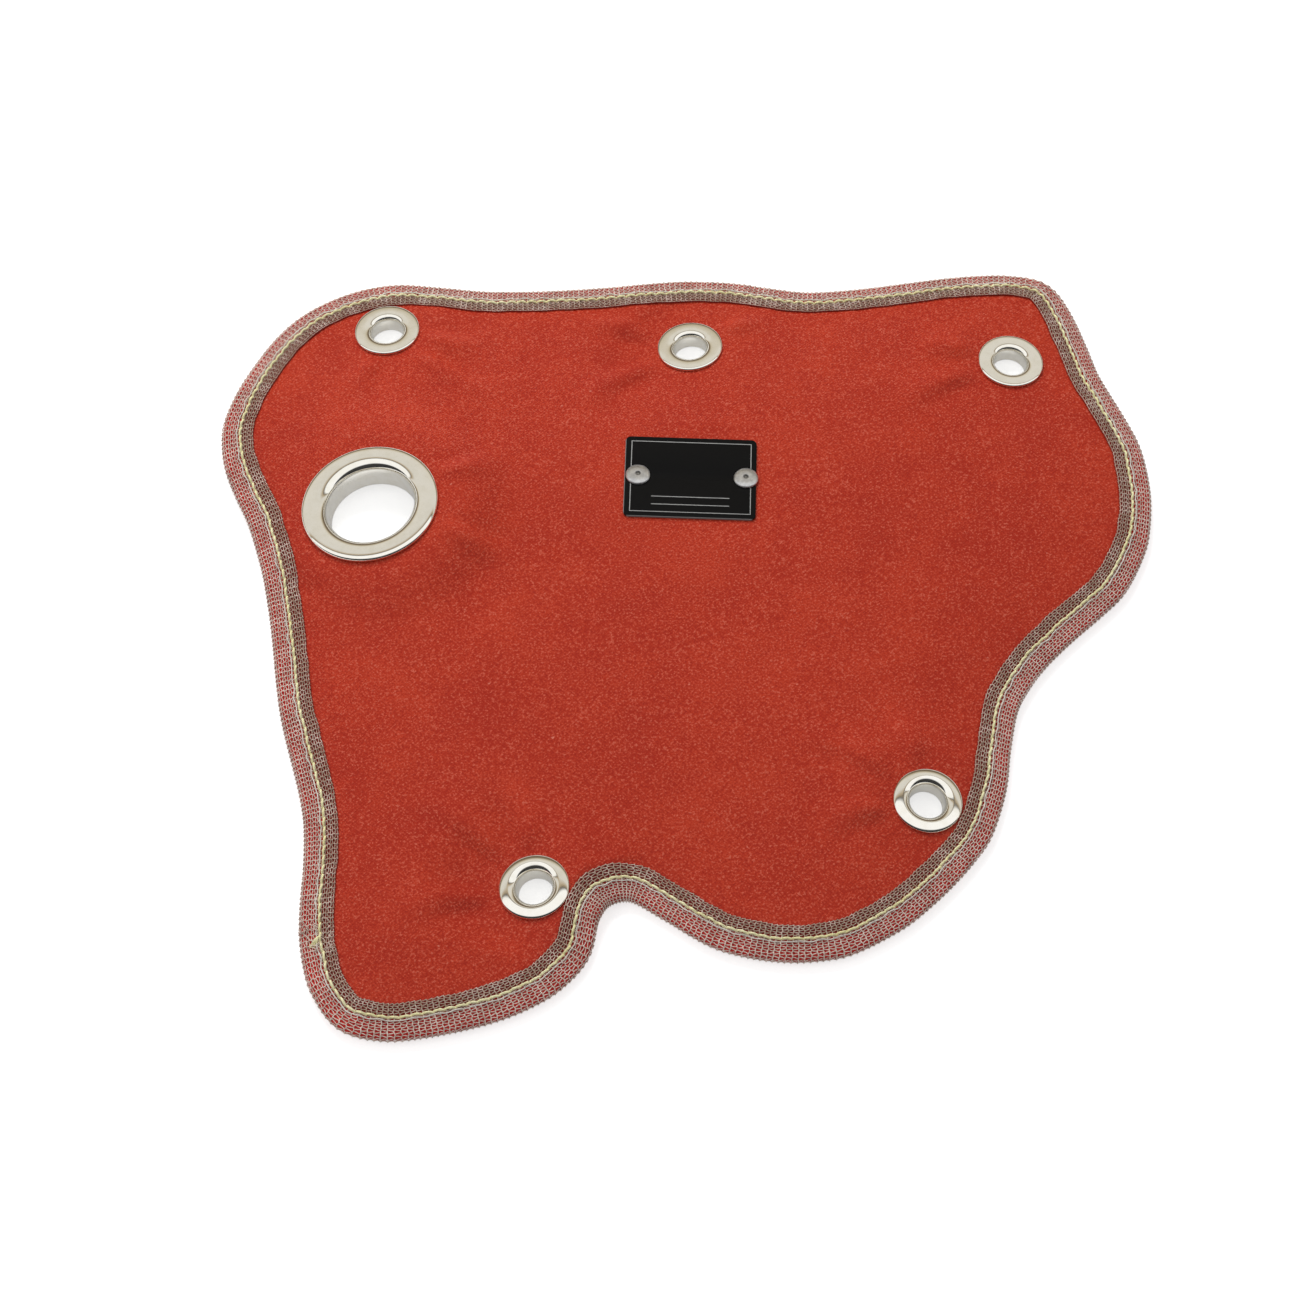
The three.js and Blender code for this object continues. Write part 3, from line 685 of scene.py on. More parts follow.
# The cloth strip that the wire is knitted over
def addTapeGround():
    count = int(round(seamLength / ground["step"]))
    s = (np.arange(count) * seamLength / count)[:, None]
    face = np.linspace(0, foldStart, 17)
    fold = np.linspace(foldStart, backStart, 9)[1:]
    back = np.linspace(backStart, acrossLoops, 9)[1:]
    across = np.concatenate([face, fold, back])[None]
    outer = tapePoint(s, across, ground["lift"] + 0 * s)
    inner = tapePoint(s, across, ground["lift"] - ground["thickness"] + 0 * s)
    sections = np.concatenate([outer, inner[:, ::-1]], 1)
    around = sections.shape[1]
    index = np.arange(count * around).reshape(count, around)
    there = np.roll(index, -1, 0)
    turned = np.roll(index, -1, 1)
    both = np.roll(there, -1, 1)
    quads = np.stack([index, there, both, turned], -1).reshape(-1, 4)
    piece = addMesh("edge_binding_cloth", sections.reshape(-1, 3), [quads])
    markInnerLeg(piece, np.tile(np.concatenate([across[0], across[0][::-1]]), count))
    return piece


knitPieces = addKnit()
tapeGround = addTapeGround()
for piece in knitPieces:
    dress(piece, wirePaint, "knitted_wire")
dress(tapeGround, tapePaint, "knitted_wire", "edge_binding")
print("the edge is bound")


# Seam: lock stitches of two-ply thread on the face, and the bobbin thread on the back
seam = {
    "threadRadius": 0.46 * mm,
    "plies": 2,
    "plyTwist": 1.7 * mm,
    "plyDepth": 0.14,
    "rise": 0.77 * mm,
    "slant": 0.42 * mm,
    "wander": 0.3 * mm,
    "steps": 15,
    "sides": 8,
    "backRadius": 0.2 * mm,
    "backRise": 0.25 * mm,
    "tackOffset": -1.35 * mm,
    "tackRadius": 0.24 * mm,
    "tackWander": 0.3 * mm,
    "tackStep": 0.5 * mm,
}


def seamWander(s):
    return binding["seamInset"] + seam["wander"] * ringWave(s, (19, 37, 71), 12)


# Lock stitches: their places along the seam, their insets from the edge, and their lifts off the tape
def stitches(rise, base, every=1):
    share = np.linspace(0, 1, seam["steps"])[None, ::every]
    s = (np.arange(stitchCount)[:, None] + share) * stitchPitch
    inset = seamWander(s) + seam["slant"] * (share - 0.5)
    return s, inset, base + rise * np.sin(np.pi * share) ** 0.75


def plyRadius(s):
    turn = 2 * np.pi * np.arange(seam["sides"]) / seam["sides"]
    twist = 2 * np.pi * s[..., None] / seam["plyTwist"]
    return seam["threadRadius"] * (1 + seam["plyDepth"] * np.cos(seam["plies"] * turn - twist))


def addFaceSeam():
    s, inset, lift = stitches(seam["rise"], -0.45 * mm)
    return addTubes("face_seam_stitches", s, acrossOf(inset), lift, plyRadius(s), seam["sides"])


def addBackSeam():
    s, inset, lift = stitches(seam["backRise"], -0.35 * mm, 2)
    across = backStart + binding["backLoops"] * (inset - binding["foldDepth"]) / tapeRun
    return addTubes("back_seam_stitches", s, across, lift, seam["backRadius"], 6)


# A finer pale thread that lies outside the seam and dips in and out of the knit
def addTackThread():
    s = np.linspace(0, seamLength, int(seamLength / seam["tackStep"]), endpoint=False)[None]
    inset = seamWander(s) + seam["tackOffset"] + seam["tackWander"] * ringWave(s, (131, 173), 21)
    lift = 0.1 * mm + 0.55 * mm * ringWave(s, (11, 27, 90, 210), 31)
    return addTubes("tacking_thread", s, acrossOf(inset), lift, seam["tackRadius"], 6)


faceSeam = dress(addFaceSeam(), aramidPaint, "thread", "face_seam_thread")
backSeam = dress(addBackSeam(), aramidPaint, "thread", "back_seam_thread")
tackThread = dress(addTackThread(), tackingPaint, "thread")
print("stitches in the seam", stitchCount)


# Where the seam starts and ends: the thread's frayed tail, and loose wire ends round the tape's joint
joint = {
    "at": (-0.1305, -0.1335),
    "tailStrands": 16,
    "tailReach": 5.4 * mm,
    "tailRadius": 0.2 * mm,
    "wireEnds": 46,
    "wireRadius": 0.13 * mm,
    "wireSpan": 11 * mm,
    "wireInset": (1.6 * mm, 11.5 * mm),
    "wireHeading": (-1.1, 1.1),
    "wireReach": (1.6 * mm, 3.6 * mm),
    "wireRise": (0.5 * mm, 1.0 * mm),
}


def jointPlace():
    apart = np.linalg.norm(seamRing[:, :2] - np.array(joint["at"]), axis=1)
    return apart.argmin() / len(seamRing) * seamLength


def addTail():
    dice = np.random.default_rng(7)
    share = np.linspace(0, 1, 9)[None]
    fan = dice.uniform(-0.5, 0.5, (joint["tailStrands"], 1))
    reach = joint["tailReach"] * dice.uniform(0.7, 1.0, (joint["tailStrands"], 1))
    s = jointPlace() - reach * share * (0.8 + 0.2 * fan) + 0 * share
    inset = binding["seamInset"] - reach * share * 0.6 + fan * 3.6 * mm * share**1.4
    lift = -0.1 * mm + 0.9 * mm * np.sin(np.pi * np.minimum(share * 1.3, 1)) + 0.25 * mm * fan
    radius = joint["tailRadius"] * (1.5 - 0.9 * share) + 0 * fan
    return addTubes("seam_thread_tail", s, acrossOf(inset), lift, radius, 6)


def addWireEnds():
    dice = np.random.default_rng(19)
    count = joint["wireEnds"]
    share = np.linspace(0, 1, 8)[None]
    start = jointPlace() + dice.normal(0, 0.45, (count, 1)) * joint["wireSpan"]
    inset = dice.uniform(*joint["wireInset"], (count, 1))
    heading = dice.uniform(*joint["wireHeading"], (count, 1))
    reach = dice.uniform(*joint["wireReach"], (count, 1))
    s = start + reach * share * np.cos(heading)
    inset = inset + reach * share * np.sin(heading) + 0.3 * mm * np.sin(5 * share + heading)
    lift = -0.35 * mm + dice.uniform(*joint["wireRise"], (count, 1)) * np.sin(np.pi * share)
    return addTubes("tape_joint_wires", s, acrossOf(inset), lift, joint["wireRadius"], 5)


seamTail = dress(addTail(), aramidPaint, "thread")
jointWires = dress(addWireEnds(), wirePaint, "knitted_wire")


# A thin ring's centre, and its axis upwards
def ringAxis(corners):
    centre = corners.mean(0)
    axis = np.linalg.svd(corners - centre)[2][2]
    return centre, axis * np.sign(axis[2])


def standing(centre, axis):
    turn = Vector((0, 0, 1)).rotation_difference(Vector(axis)).to_matrix().to_4x4()
    return Matrix.Translation(Vector(centre)) @ turn


# Eyelets: where each stands, and how it leans, from its washer and its barrel
class Seat:
    def __init__(self, node, washer):
        centre, self.axis = ringAxis(cornersOf(washer))
        corners = cornersOf(node) - centre
        along = corners @ self.axis
        out = np.linalg.norm(corners - along[:, None] * self.axis, axis=1)
        self.top, self.bottom = along.max(), along.min()
        self.outer, self.inner = out.max(), out.min()
        self.centre = centre + self.axis * self.top

    def plane(self, x, y, drop):
        cx, cy, cz = self.centre - self.axis * drop
        return cz - ((x - cx) * self.axis[0] + (y - cy) * self.axis[1]) / self.axis[2]


eyeletKinds = {
    "eyelet_top_left": "flat",
    "eyelet_top_middle": "flat",
    "eyelet_top_right": "flat",
    "eyelet_lower_right": "domed",
    "eyelet_lower_left": "domed",
    "port_eyelet": "port",
}
seats = {name: Seat(name, name + "_washer") for name in eyeletKinds}
for name, seat in seats.items():
    print(name, np.round(seat.centre * 1000, 2), round(seat.outer * 1000, 2))

# Height of each flange over the cloth, its throat's radius, and how much cloth is kept clear of it
flange = {
    "flat": {"rise": 1.45 * mm, "throat": 8.2 * mm, "grip": 5.0 * mm},
    "domed": {"rise": 2.25 * mm, "throat": 8.6 * mm, "grip": 5.0 * mm},
    "port": {"rise": 2.35 * mm, "throat": 19.6 * mm, "grip": 9.0 * mm},
}


# The plate's own axes, for its seat in the cloth
def plateFrame():
    corners = cornersOf("name_plate")
    centre = corners.mean(0)
    axes = np.linalg.svd(corners - centre)[2]
    along = axes[0] * np.sign(axes[0][0])
    out = axes[2] * np.sign(axes[2][2])
    under = ((corners - centre) @ out).min()
    return centre, along, out, under


plateCentre, plateAlong, plateOut, plateUnder = plateFrame()
plateHalf = (25.4 * mm, 19.05 * mm)


# Pad: one net of points serves each layer, finer on the face
pad = {
    "faceSpacing": 2.1 * mm,
    "coreSpacing": 5.0 * mm,
    "backSpacing": 3.0 * mm,
    "faceThickness": 0.8 * mm,
    "backThickness": 0.6 * mm,
    "rimInset": 2.5 * mm,
    "seatMargin": 4.5 * mm,
    "seatBlend": 11.0 * mm,
    "freeMargin": 0.8 * mm,
    "freeBlend": 17.0 * mm,
    "plateMargin": 0.8 * mm,
    "plateBlend": 13.0 * mm,
    "tapeThickness": 1.25 * mm,
    "faceEvening": 17 * mm,
    "backEvening": 8 * mm,
    "throatRoom": 0.35 * mm,
    "barrelRoom": 1.0 * mm,
    "coreRoom": 2.2 * mm,
}


def ringPoints(inset, spacing):
    count = int(round(seamLength / spacing))
    ring = ringAt(np.arange(count) * seamLength / count)
    return ring[:, :2] + ring[:, 2:4] * (inset - binding["seamInset"])


def insideLoop(points, loop):
    x, y = points[:, 0], points[:, 1]
    inside = np.zeros(len(points), bool)
    for (ax, ay), (bx, by) in zip(loop, np.roll(loop, -1, 0)):
        crosses = (ay > y) != (by > y)
        if ay != by:
            inside ^= crosses & (x < ax + (bx - ax) * (y - ay) / (by - ay))
    return inside


def nearestOnLoop(points, loop):
    best = np.full(len(points), np.inf)
    which = np.zeros(len(points), int)
    for start in range(0, len(loop), 64):
        part = loop[start : start + 64]
        apart = np.linalg.norm(points[:, None] - part[None], axis=2)
        nearest = apart.argmin(1)
        reach = apart[np.arange(len(points)), nearest]
        closer = reach < best
        best[closer] = reach[closer]
        which[closer] = nearest[closer] + start
    return best, which


def sidesOf(faces):
    return np.concatenate([faces[:, [0, 1]], faces[:, [1, 2]], faces[:, [2, 0]]])


# A flat net of triangles inside the tape's rim, with a hole at each eyelet
class Net:
    def __init__(self, spacing, holeOf, dropOf):
        self.outline = ringPoints(0.0, 1.2 * mm)
        rim = ringPoints(pad["rimInset"], spacing)
        loops = [rim]
        centres = []
        for name, seat in seats.items():
            hole = holeOf(name)
            corners = max(int(2 * math.pi * hole / spacing), 18)
            turn = 2 * np.pi * np.arange(corners) / corners
            centre = (seat.centre - seat.axis * dropOf(name))[:2]
            loops.append(centre + hole * np.stack([np.cos(turn), np.sin(turn)], 1))
            centres.append((centre, hole))
        row = spacing * math.sqrt(3) / 2
        low, high = rim.min(0), rim.max(0)
        ys = np.arange(low[1], high[1], row)
        starts = low[0] + (np.arange(len(ys)) % 2) * spacing / 2
        rows = [(x, y) for y, start in zip(ys, starts) for x in np.arange(start, high[0], spacing)]
        points = np.array(rows)
        points = points[insideLoop(points, rim)]
        points = points[nearestOnLoop(points, rim)[0] > spacing * 0.6]
        for centre, hole in centres:
            points = points[np.linalg.norm(points - centre, axis=1) > hole + spacing * 0.6]
        corners = np.concatenate([*loops, points])
        edges = []
        start = 0
        for loop in loops:
            index = start + np.arange(len(loop))
            edges += list(zip(index.tolist(), np.roll(index, -1).tolist()))
            start += len(loop)
        made = delaunay_2d_cdt([Vector(p) for p in corners], edges, [], 1, 1e-7)
        self.points = np.array([v[:] for v in made[0]])
        faces = np.array([list(f) for f in made[2]], int)
        middles = self.points[faces].mean(1)
        keep = insideLoop(middles, rim)
        for loop in loops[1:]:
            keep &= ~insideLoop(middles, loop)
        faces = faces[keep]
        a, b, c = self.points[faces].transpose(1, 0, 2)
        area = ((b[:, 0] - a[:, 0]) * (c[:, 1] - a[:, 1]) - (b[:, 1] - a[:, 1]) * (c[:, 0] - a[:, 0])) / 2
        self.area = np.abs(area).sum()
        self.faces = np.where(area[:, None] > 0, faces, faces[:, ::-1])
        self.inset, self.nearest = nearestOnLoop(self.points, self.outline)
        sides = sidesOf(self.faces)
        pairs = np.sort(sides, 1)
        self.edges, which, uses = np.unique(pairs, axis=0, return_inverse=True, return_counts=True)
        self.border = sides[uses[which.ravel()] == 1]
        self.spacing = spacing

    # 0 up to a distance inwards from the tape's edge, and 1 from another on
    def clear(self, low, high):
        return smoothStep(binding["leg"] + low, binding["leg"] + high, self.inset)

    # Evens a height over about this reach, where the net is free
    def even(self, height, reach, free):
        a, b = self.edges.T
        count = len(self.points)
        degree = np.bincount(a, minlength=count) + np.bincount(b, minlength=count)
        for _ in range(int((reach / self.spacing) ** 2)):
            total = np.bincount(a, height[b], count) + np.bincount(b, height[a], count)
            height = height + (total / np.maximum(degree, 1) - height) * free * 0.7
        return height


def sampled(net, node, cast, fallback):
    surface = surfaceOf(node)
    heights = [cast(surface, x, y) for x, y in net.points]
    heights = np.array([np.nan if h is None else h for h in heights], float)
    for k in np.flatnonzero(np.isnan(heights)):
        heights[k] = surface.find_nearest(Vector((*net.points[k], fallback)))[0].z
    return heights


# Presses a height onto the eyelets' own seats
def pressToSeats(net, height, dropOf, most):
    x, y = net.points.T
    room = net.clear(4 * mm, 34 * mm)
    for name, seat in seats.items():
        reach = np.linalg.norm(net.points - seat.centre[:2], axis=1)
        start = seat.outer + pad["seatMargin"] * (1 - room) + pad["freeMargin"] * room
        pressed = 1 - smoothStep(start, start + pad["seatBlend"] + pad["freeBlend"] * room, reach)
        plane = seat.plane(x, y, dropOf(name))
        height = height + (most(plane, height) - height) * pressed
    return height


def pressToPlate(net, height):
    x, y = (net.points - plateCentre[:2]).T
    along = np.abs(x * plateAlong[0] + y * plateAlong[1]) - plateHalf[0]
    across = np.abs(y * plateAlong[0] - x * plateAlong[1]) - plateHalf[1]
    reach = np.hypot(np.maximum(along, 0), np.maximum(across, 0))
    plane = plateCentre[2] + (plateUnder - 0.06 * mm - x * plateOut[0] - y * plateOut[1]) / plateOut[2]
    pressed = 1 - smoothStep(pad["plateMargin"], pad["plateMargin"] + pad["plateBlend"], reach)
    return height + (plane - height) * pressed


# Soft unevenness of the stuffed pad, from slow noise, and puckers where the tape grips it
relief = {
    "slow": 0.9 * mm,
    "slowSpan": 70 * mm,
    "fast": 0.3 * mm,
    "fastSpan": 22 * mm,
    "pucker": 0.3 * mm,
    "creaseDepth": 2.0 * mm,
    "creaseWidth": 5.5 * mm,
}

# Creases that run out from an eyelet: heading in degrees, and length in millimetres
creases = {
    "eyelet_top_left": [(-38, 44), (-8, 30), (-100, 26)],
    "eyelet_top_middle": [(-142, 46), (38, 26), (165, 34)],
    "eyelet_top_right": [(-150, 40), (172, 26)],
    "eyelet_lower_right": [(150, 42), (112, 30), (-160, 30)],
    "eyelet_lower_left": [(140, 46), (105, 30), (-165, 38), (20, 30)],
    "port_eyelet": [(-20, 40), (28, 30)],
}


# Across a crease, from a fold to the hollow beside it
def creased(net):
    total = np.zeros(len(net.points))
    for name, heading, length in [(name, *run) for name, runs in creases.items() for run in runs]:
        seat = seats[name]
        angle = math.radians(heading)
        x, y = (net.points - seat.centre[:2]).T
        along = (x * math.cos(angle) + y * math.sin(angle) - seat.outer) / (length * mm)
        aside = y * math.cos(angle) - x * math.sin(angle) + 2.5 * mm * np.sin(along * 3)
        aside = aside / (relief["creaseWidth"] * (0.7 + 0.9 * np.clip(along, 0, 1)))
        fade = smoothStep(0.02, 0.3, along) * (1 - smoothStep(0.35, 1.1, along))
        total += fade * np.exp(-(aside**2)) * (1 - 1.6 * np.exp(-((aside - 1.3) ** 2)))
    return relief["creaseDepth"] * total * net.clear(0, 10 * mm)


def unevenness(net):
    slow = np.array([noise.noise(Vector((x, y, 0.3)) / relief["slowSpan"]) for x, y in net.points])
    fast = np.array([noise.noise(Vector((x, y, 0.9)) / relief["fastSpan"]) for x, y in net.points])
    along = net.nearest / len(net.outline) * seamLength
    pucker = relief["pucker"] * ringWave(along, (83, 109, 137), 41)
    pucker = pucker * np.exp(-np.maximum(net.inset - binding["leg"], 0) / (7 * mm))
    pucker = pucker * net.clear(-3 * mm, 1 * mm)
    return (relief["slow"] * slow + relief["fast"] * fast) * net.clear(0, 22 * mm) + pucker


# A closed layer over a net, from its low heights to its high ones
def padLayer(name, net, low, high):
    count = len(net.points)
    corners = np.concatenate([np.column_stack([net.points, high]), np.column_stack([net.points, low])])
    p, q = net.border.T
    walls = np.column_stack([q, p, p + count, q + count])
    return addMesh(name, corners, [net.faces, net.faces[:, ::-1] + count, walls])


def faceHole(name):
    return flange[eyeletKinds[name]]["throat"] + pad["throatRoom"]


def barrelHole(name):
    return seats[name].inner + pad["barrelRoom"]


def coreHole(name):
    return seats[name].inner + pad["coreRoom"]


def faceDrop(name):
    return flange[eyeletKinds[name]]["rise"]


def backDrop(name):
    kind = flange[eyeletKinds[name]]
    return kind["rise"] + kind["grip"]


def coreDrop(name):
    return (faceDrop(name) + backDrop(name)) / 2


def paddedTop(net):
    top = sampled(net, "face_cloth", castDown, 0.012)
    top = net.even(top, pad["faceEvening"], net.clear(-2 * mm, 10 * mm)) + unevenness(net)
    top = pressToSeats(net, top, faceDrop, lambda plane, height: plane) + creased(net)
    top = pressToPlate(net, top)
    return tuckUnderTape(net, top)


# Under the tape the cloth keeps just below it, and it comes free of the tape's edge in a few millimetres
def tuckUnderTape(net, top):
    along = net.nearest / len(net.outline) * seamLength
    edgeTop, endTop = ringAt(along)[:, 4:].T
    tape = edgeTop + (endTop - edgeTop) * (net.inset - binding["foldDepth"]) / tapeRun - pad["tapeThickness"]
    return top + (tape - top) * (1 - net.clear(-1 * mm, 2.5 * mm))


def paddedUnder(net):
    under = sampled(net, "back_cloth", castUp, 0.0)
    under = np.maximum(net.even(under, pad["backEvening"], net.clear(-2 * mm, 10 * mm)), 0)
    return pressToSeats(net, under, backDrop, np.maximum)


faceNet = Net(pad["faceSpacing"], faceHole, faceDrop)
print("points in the face cloth's net", len(faceNet.points))
faceTop = paddedTop(faceNet)
faceCloth = padLayer("face_cloth_sheet", faceNet, faceTop - pad["faceThickness"], faceTop)
backNet = Net(pad["backSpacing"], barrelHole, backDrop)
backUnder = paddedUnder(backNet)
backCloth = padLayer("back_cloth_sheet", backNet, backUnder, backUnder + pad["backThickness"])
coreNet = Net(pad["coreSpacing"], coreHole, coreDrop)
coreTop = paddedTop(coreNet) - pad["faceThickness"] - 0.25 * mm
coreUnder = paddedUnder(coreNet) + pad["backThickness"] + 0.1 * mm
core = padLayer("insulation_batt", coreNet, np.minimum(coreUnder, coreTop - 1 * mm), coreTop)
dress(faceCloth, redPaint, "red_cloth", "face_cloth")
dress(backCloth, silicaPaint, "back_cloth", "back_cloth")
dress(core, woolPaint, "wool", "insulation_core")
print("the pad is laid")


# Pieces of revolution, drawn out ring by ring from a circle, as [radius, height] points
def drawRings(name, rings, sides):
    deselectAll()
    radius, height = rings[0]
    bpy.ops.mesh.primitive_circle_add(vertices=sides, radius=radius, location=(0, 0, height))
    piece = bpy.context.object
    piece.name = name
    piece.data.name = name
    bpy.ops.object.transform_apply(location=True)
    bpy.ops.object.mode_set(mode="EDIT")
    bpy.ops.mesh.select_mode(type="VERT")
    bpy.ops.mesh.select_all(action="SELECT")
    for nextRadius, nextHeight in rings[1:]:
        move = {"value": (0, 0, nextHeight - height)}
        bpy.ops.mesh.extrude_region_move(TRANSFORM_OT_translate=move)
        ratio = nextRadius / radius
        bpy.ops.transform.resize(value=(ratio, ratio, 1), center_override=(0, 0, nextHeight))
        radius, height = nextRadius, nextHeight
    bpy.ops.object.mode_set(mode="OBJECT")
    return piece


def mendNormals(piece, mergeReach=0.01 * mm):
    selectOnly(piece)
    bpy.ops.object.mode_set(mode="EDIT")
    bpy.ops.mesh.select_all(action="SELECT")
    bpy.ops.mesh.remove_doubles(threshold=mergeReach)
    bpy.ops.mesh.normals_make_consistent(inside=False)
    bpy.ops.object.mode_set(mode="OBJECT")


def applyModifier(piece, kind, **settings):
    selectOnly(piece)
    modifier = piece.modifiers.new(kind.title(), kind)
    for key, value in settings.items():
        setattr(modifier, key, value)
    bpy.ops.object.modifier_apply(modifier=modifier.name)


def smoothShade(piece, degrees=40):
    selectOnly(piece)
    bpy.ops.object.shade_smooth_by_angle(angle=math.radians(degrees))


eyelet = {"wall": 0.6 * mm, "sides": {"flat": 64, "domed": 64, "port": 96}}

# Wall lines of the eyelets in millimetres, each point out from the rim or the barrel and up from the flange
# or the barrel's low end: from the turned-down lip over the crown, down the throat and round the roll
eyeletLines = {
    "flat": {
        "lip": [(-0.25, -1.05), (0, -0.85), (-0.02, -0.4), (-0.35, -0.08), (-0.9, 0)],
        "throat": [(2.6, 0.05), (1.7, -0.02), (0.9, -0.3), (0.3, -1.0), (0.05, -2.0), (0, -3.4)],
        "roll": [(0, 0.9), (0.1, 0.25), (0.6, 0), (1.3, 0.2)],
    },
    "domed": {
        "lip": [(-0.3, -1.85), (0, -1.6), (-0.12, -1.25), (-0.6, -0.85), (-1.4, -0.48)],
        "crown": [(-2.4, -0.17), (-3.4, 0)],
        "throat": [(2.6, -0.06), (1.5, -0.5), (0.7, -1.3), (0.2, -2.4), (0, -3.8)],
        "roll": [(0, 0.9), (0.1, 0.25), (0.6, 0), (1.3, 0.2)],
    },
    "port": {
        "lip": [(-0.4, -1.9), (0, -1.6), (-0.05, -1.0), (-0.5, -0.4), (-1.3, -0.12), (-3.4, 0)],
        "throat": [(3.6, -0.05), (2.2, -0.35), (1.1, -1.2), (0.35, -2.5), (0.05, -4.0), (0, -6.5)],
        "roll": [(0, 1.2), (0.15, 0.35), (0.8, 0), (1.8, 0.25)],
    },
}


def eyeletRings(seat, lines):
    half = eyelet["wall"] / 2
    barrel = seat.inner + half
    starts = {
        "lip": (seat.outer - half, -half),
        "crown": (seat.outer - half, -half),
        "throat": (barrel, -half),
        "roll": (barrel, seat.bottom - seat.top + half),
    }
    rings = []
    for part, (radius, height) in starts.items():
        rings += [(radius + out * mm, height + up * mm) for out, up in lines.get(part, [])]
    return rings


def addEyelet(name):
    seat = seats[name]
    kind = eyeletKinds[name]
    piece = drawRings(name + "_pressing", eyeletRings(seat, eyeletLines[kind]), eyelet["sides"][kind])
    mendNormals(piece)
    applyModifier(piece, "SOLIDIFY", thickness=eyelet["wall"], offset=0.0, use_even_offset=True)
    applyModifier(piece, "SUBSURF", levels=1, render_levels=1)
    piece.data.transform(standing(seat.centre, seat.axis))
    smoothShade(piece, 60)
    return dress(piece, nickelPaint, "nickel", name)


def addWasher(node, axis, paint, slot, sides=64):
    ring = cornersOf(node)
    centre = ring.mean(0)
    along = (ring - centre) @ axis
    out = np.linalg.norm(ring - centre - along[:, None] * axis, axis=1)
    inner, outer = out.min(), out.max()
    half = (along.max() - along.min()) / 2
    rings = [(inner, -half), (outer, -half), (outer, half), (inner, half), (inner, -half)]
    piece = drawRings(node + "_ring", rings, sides)
    mendNormals(piece)
    applyModifier(piece, "BEVEL", width=0.15 * mm, segments=2, angle_limit=math.radians(40))
    piece.data.transform(standing(centre, axis))
    smoothShade(piece)
    return dress(piece, paint, slot, node)


for name in eyeletKinds:
    addEyelet(name)
    addWasher(name + "_washer", seats[name].axis, nickelPaint, "nickel")
print("eyelets are pressed")


# Name plate: dark and bare, with a thin border line, held by two blind rivets
plate = {
    "colour": shade(10, 10, 11),
    "line": shade(186, 186, 184),
    # grey of the edge band: worn anodising together with a painted highlight along the edge
    "edge": shade(150, 150, 148),
    "bevel": 0.16 * mm,
    "borderInset": 2.3 * mm,
    "rules": (9.5 * mm, 13.2 * mm),
    "ruleHalf": 15 * mm,
    "lineWidth": 0.3 * mm,
}


def makePlatePaint():
    paint = Paint("blackAnodisedPlate")
    where = paint.place(tuple(plateCentre), math.atan2(plateAlong[1], plateAlong[0]))
    x, y = paint.axes(where)[:2]
    sides = [(axis.size() - half) * -1 for axis, half in zip((x, y), plateHalf)]
    inside = sides[0].maths("MINIMUM", *sides)
    thin, thick = plate["lineWidth"] / 3, plate["lineWidth"] * 2 / 3
    border = 1 - (inside - plate["borderInset"]).size().rise(thin, thick)
    ends = 1 - x.size().rise(plate["ruleHalf"] - thin, plate["ruleHalf"] + thin)
    upper, lower = [(1 - (y + low).size().rise(thin, thick)) * ends for low in plate["rules"]]
    lines = border.maths("MAXIMUM", border, upper + lower)
    # A grey band round the plate's edge: wear on the anodising, and a painted highlight along the edge
    edgeWearAndHighlight = (1 - inside.rise(0.0, 0.22 * mm)) * 0.6
    haze = paint.cloud(where, 3 * mm, 4, 0.6)
    colour = paint.blend(lines * 0.8, plate["colour"], plate["line"])
    colour = paint.blend(edgeWearAndHighlight, colour, plate["edge"])
    roughness = 0.42 + (haze - 0.5) * 0.2
    normal = paint.relief(paint.cloud(where, 0.4 * mm, 2), 0.02 * mm, 0.3)
    return paint.finish(baseColor=colour, roughness=roughness, normal=normal, specularLevel=0.12)


def addPlate():
    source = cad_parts["name_plate"]
    piece = bpy.data.objects.new("blank_plate", source.data.copy())
    bpy.context.collection.objects.link(piece)
    piece.data.materials.clear()
    mendNormals(piece, 0.002 * mm)
    applyModifier(piece, "BEVEL", width=plate["bevel"], segments=2, angle_limit=math.radians(50))
    smoothShade(piece)
    return dress(piece, makePlatePaint(), "black_plate", "name_plate")


addPlate()


# Blind rivets: domed head with a pit, shank and pulled bulb behind the washer
class Stack:
    def __init__(self, side):
        self.centre, self.axis = ringAxis(cornersOf("rivet_washer_" + side))
        along = (cornersOf("plate_rivet_" + side) - self.centre) @ self.axis
        self.top, self.bottom = along.max(), along.min()

    # Drawn piece, stood on the washer's axis
    def stand(self, piece, paint, slot, node):
        piece.data.transform(standing(self.centre, self.axis))
        smoothShade(piece, 50)
        return dress(piece, paint, slot, node)


rivetShape = {
    "head": 4.75 * mm,
    "rise": 1.3 * mm,
    "shank": 1.6 * mm,
    "bore": 0.95 * mm,
    "bulb": 2.9 * mm,
    "sides": 48,
}


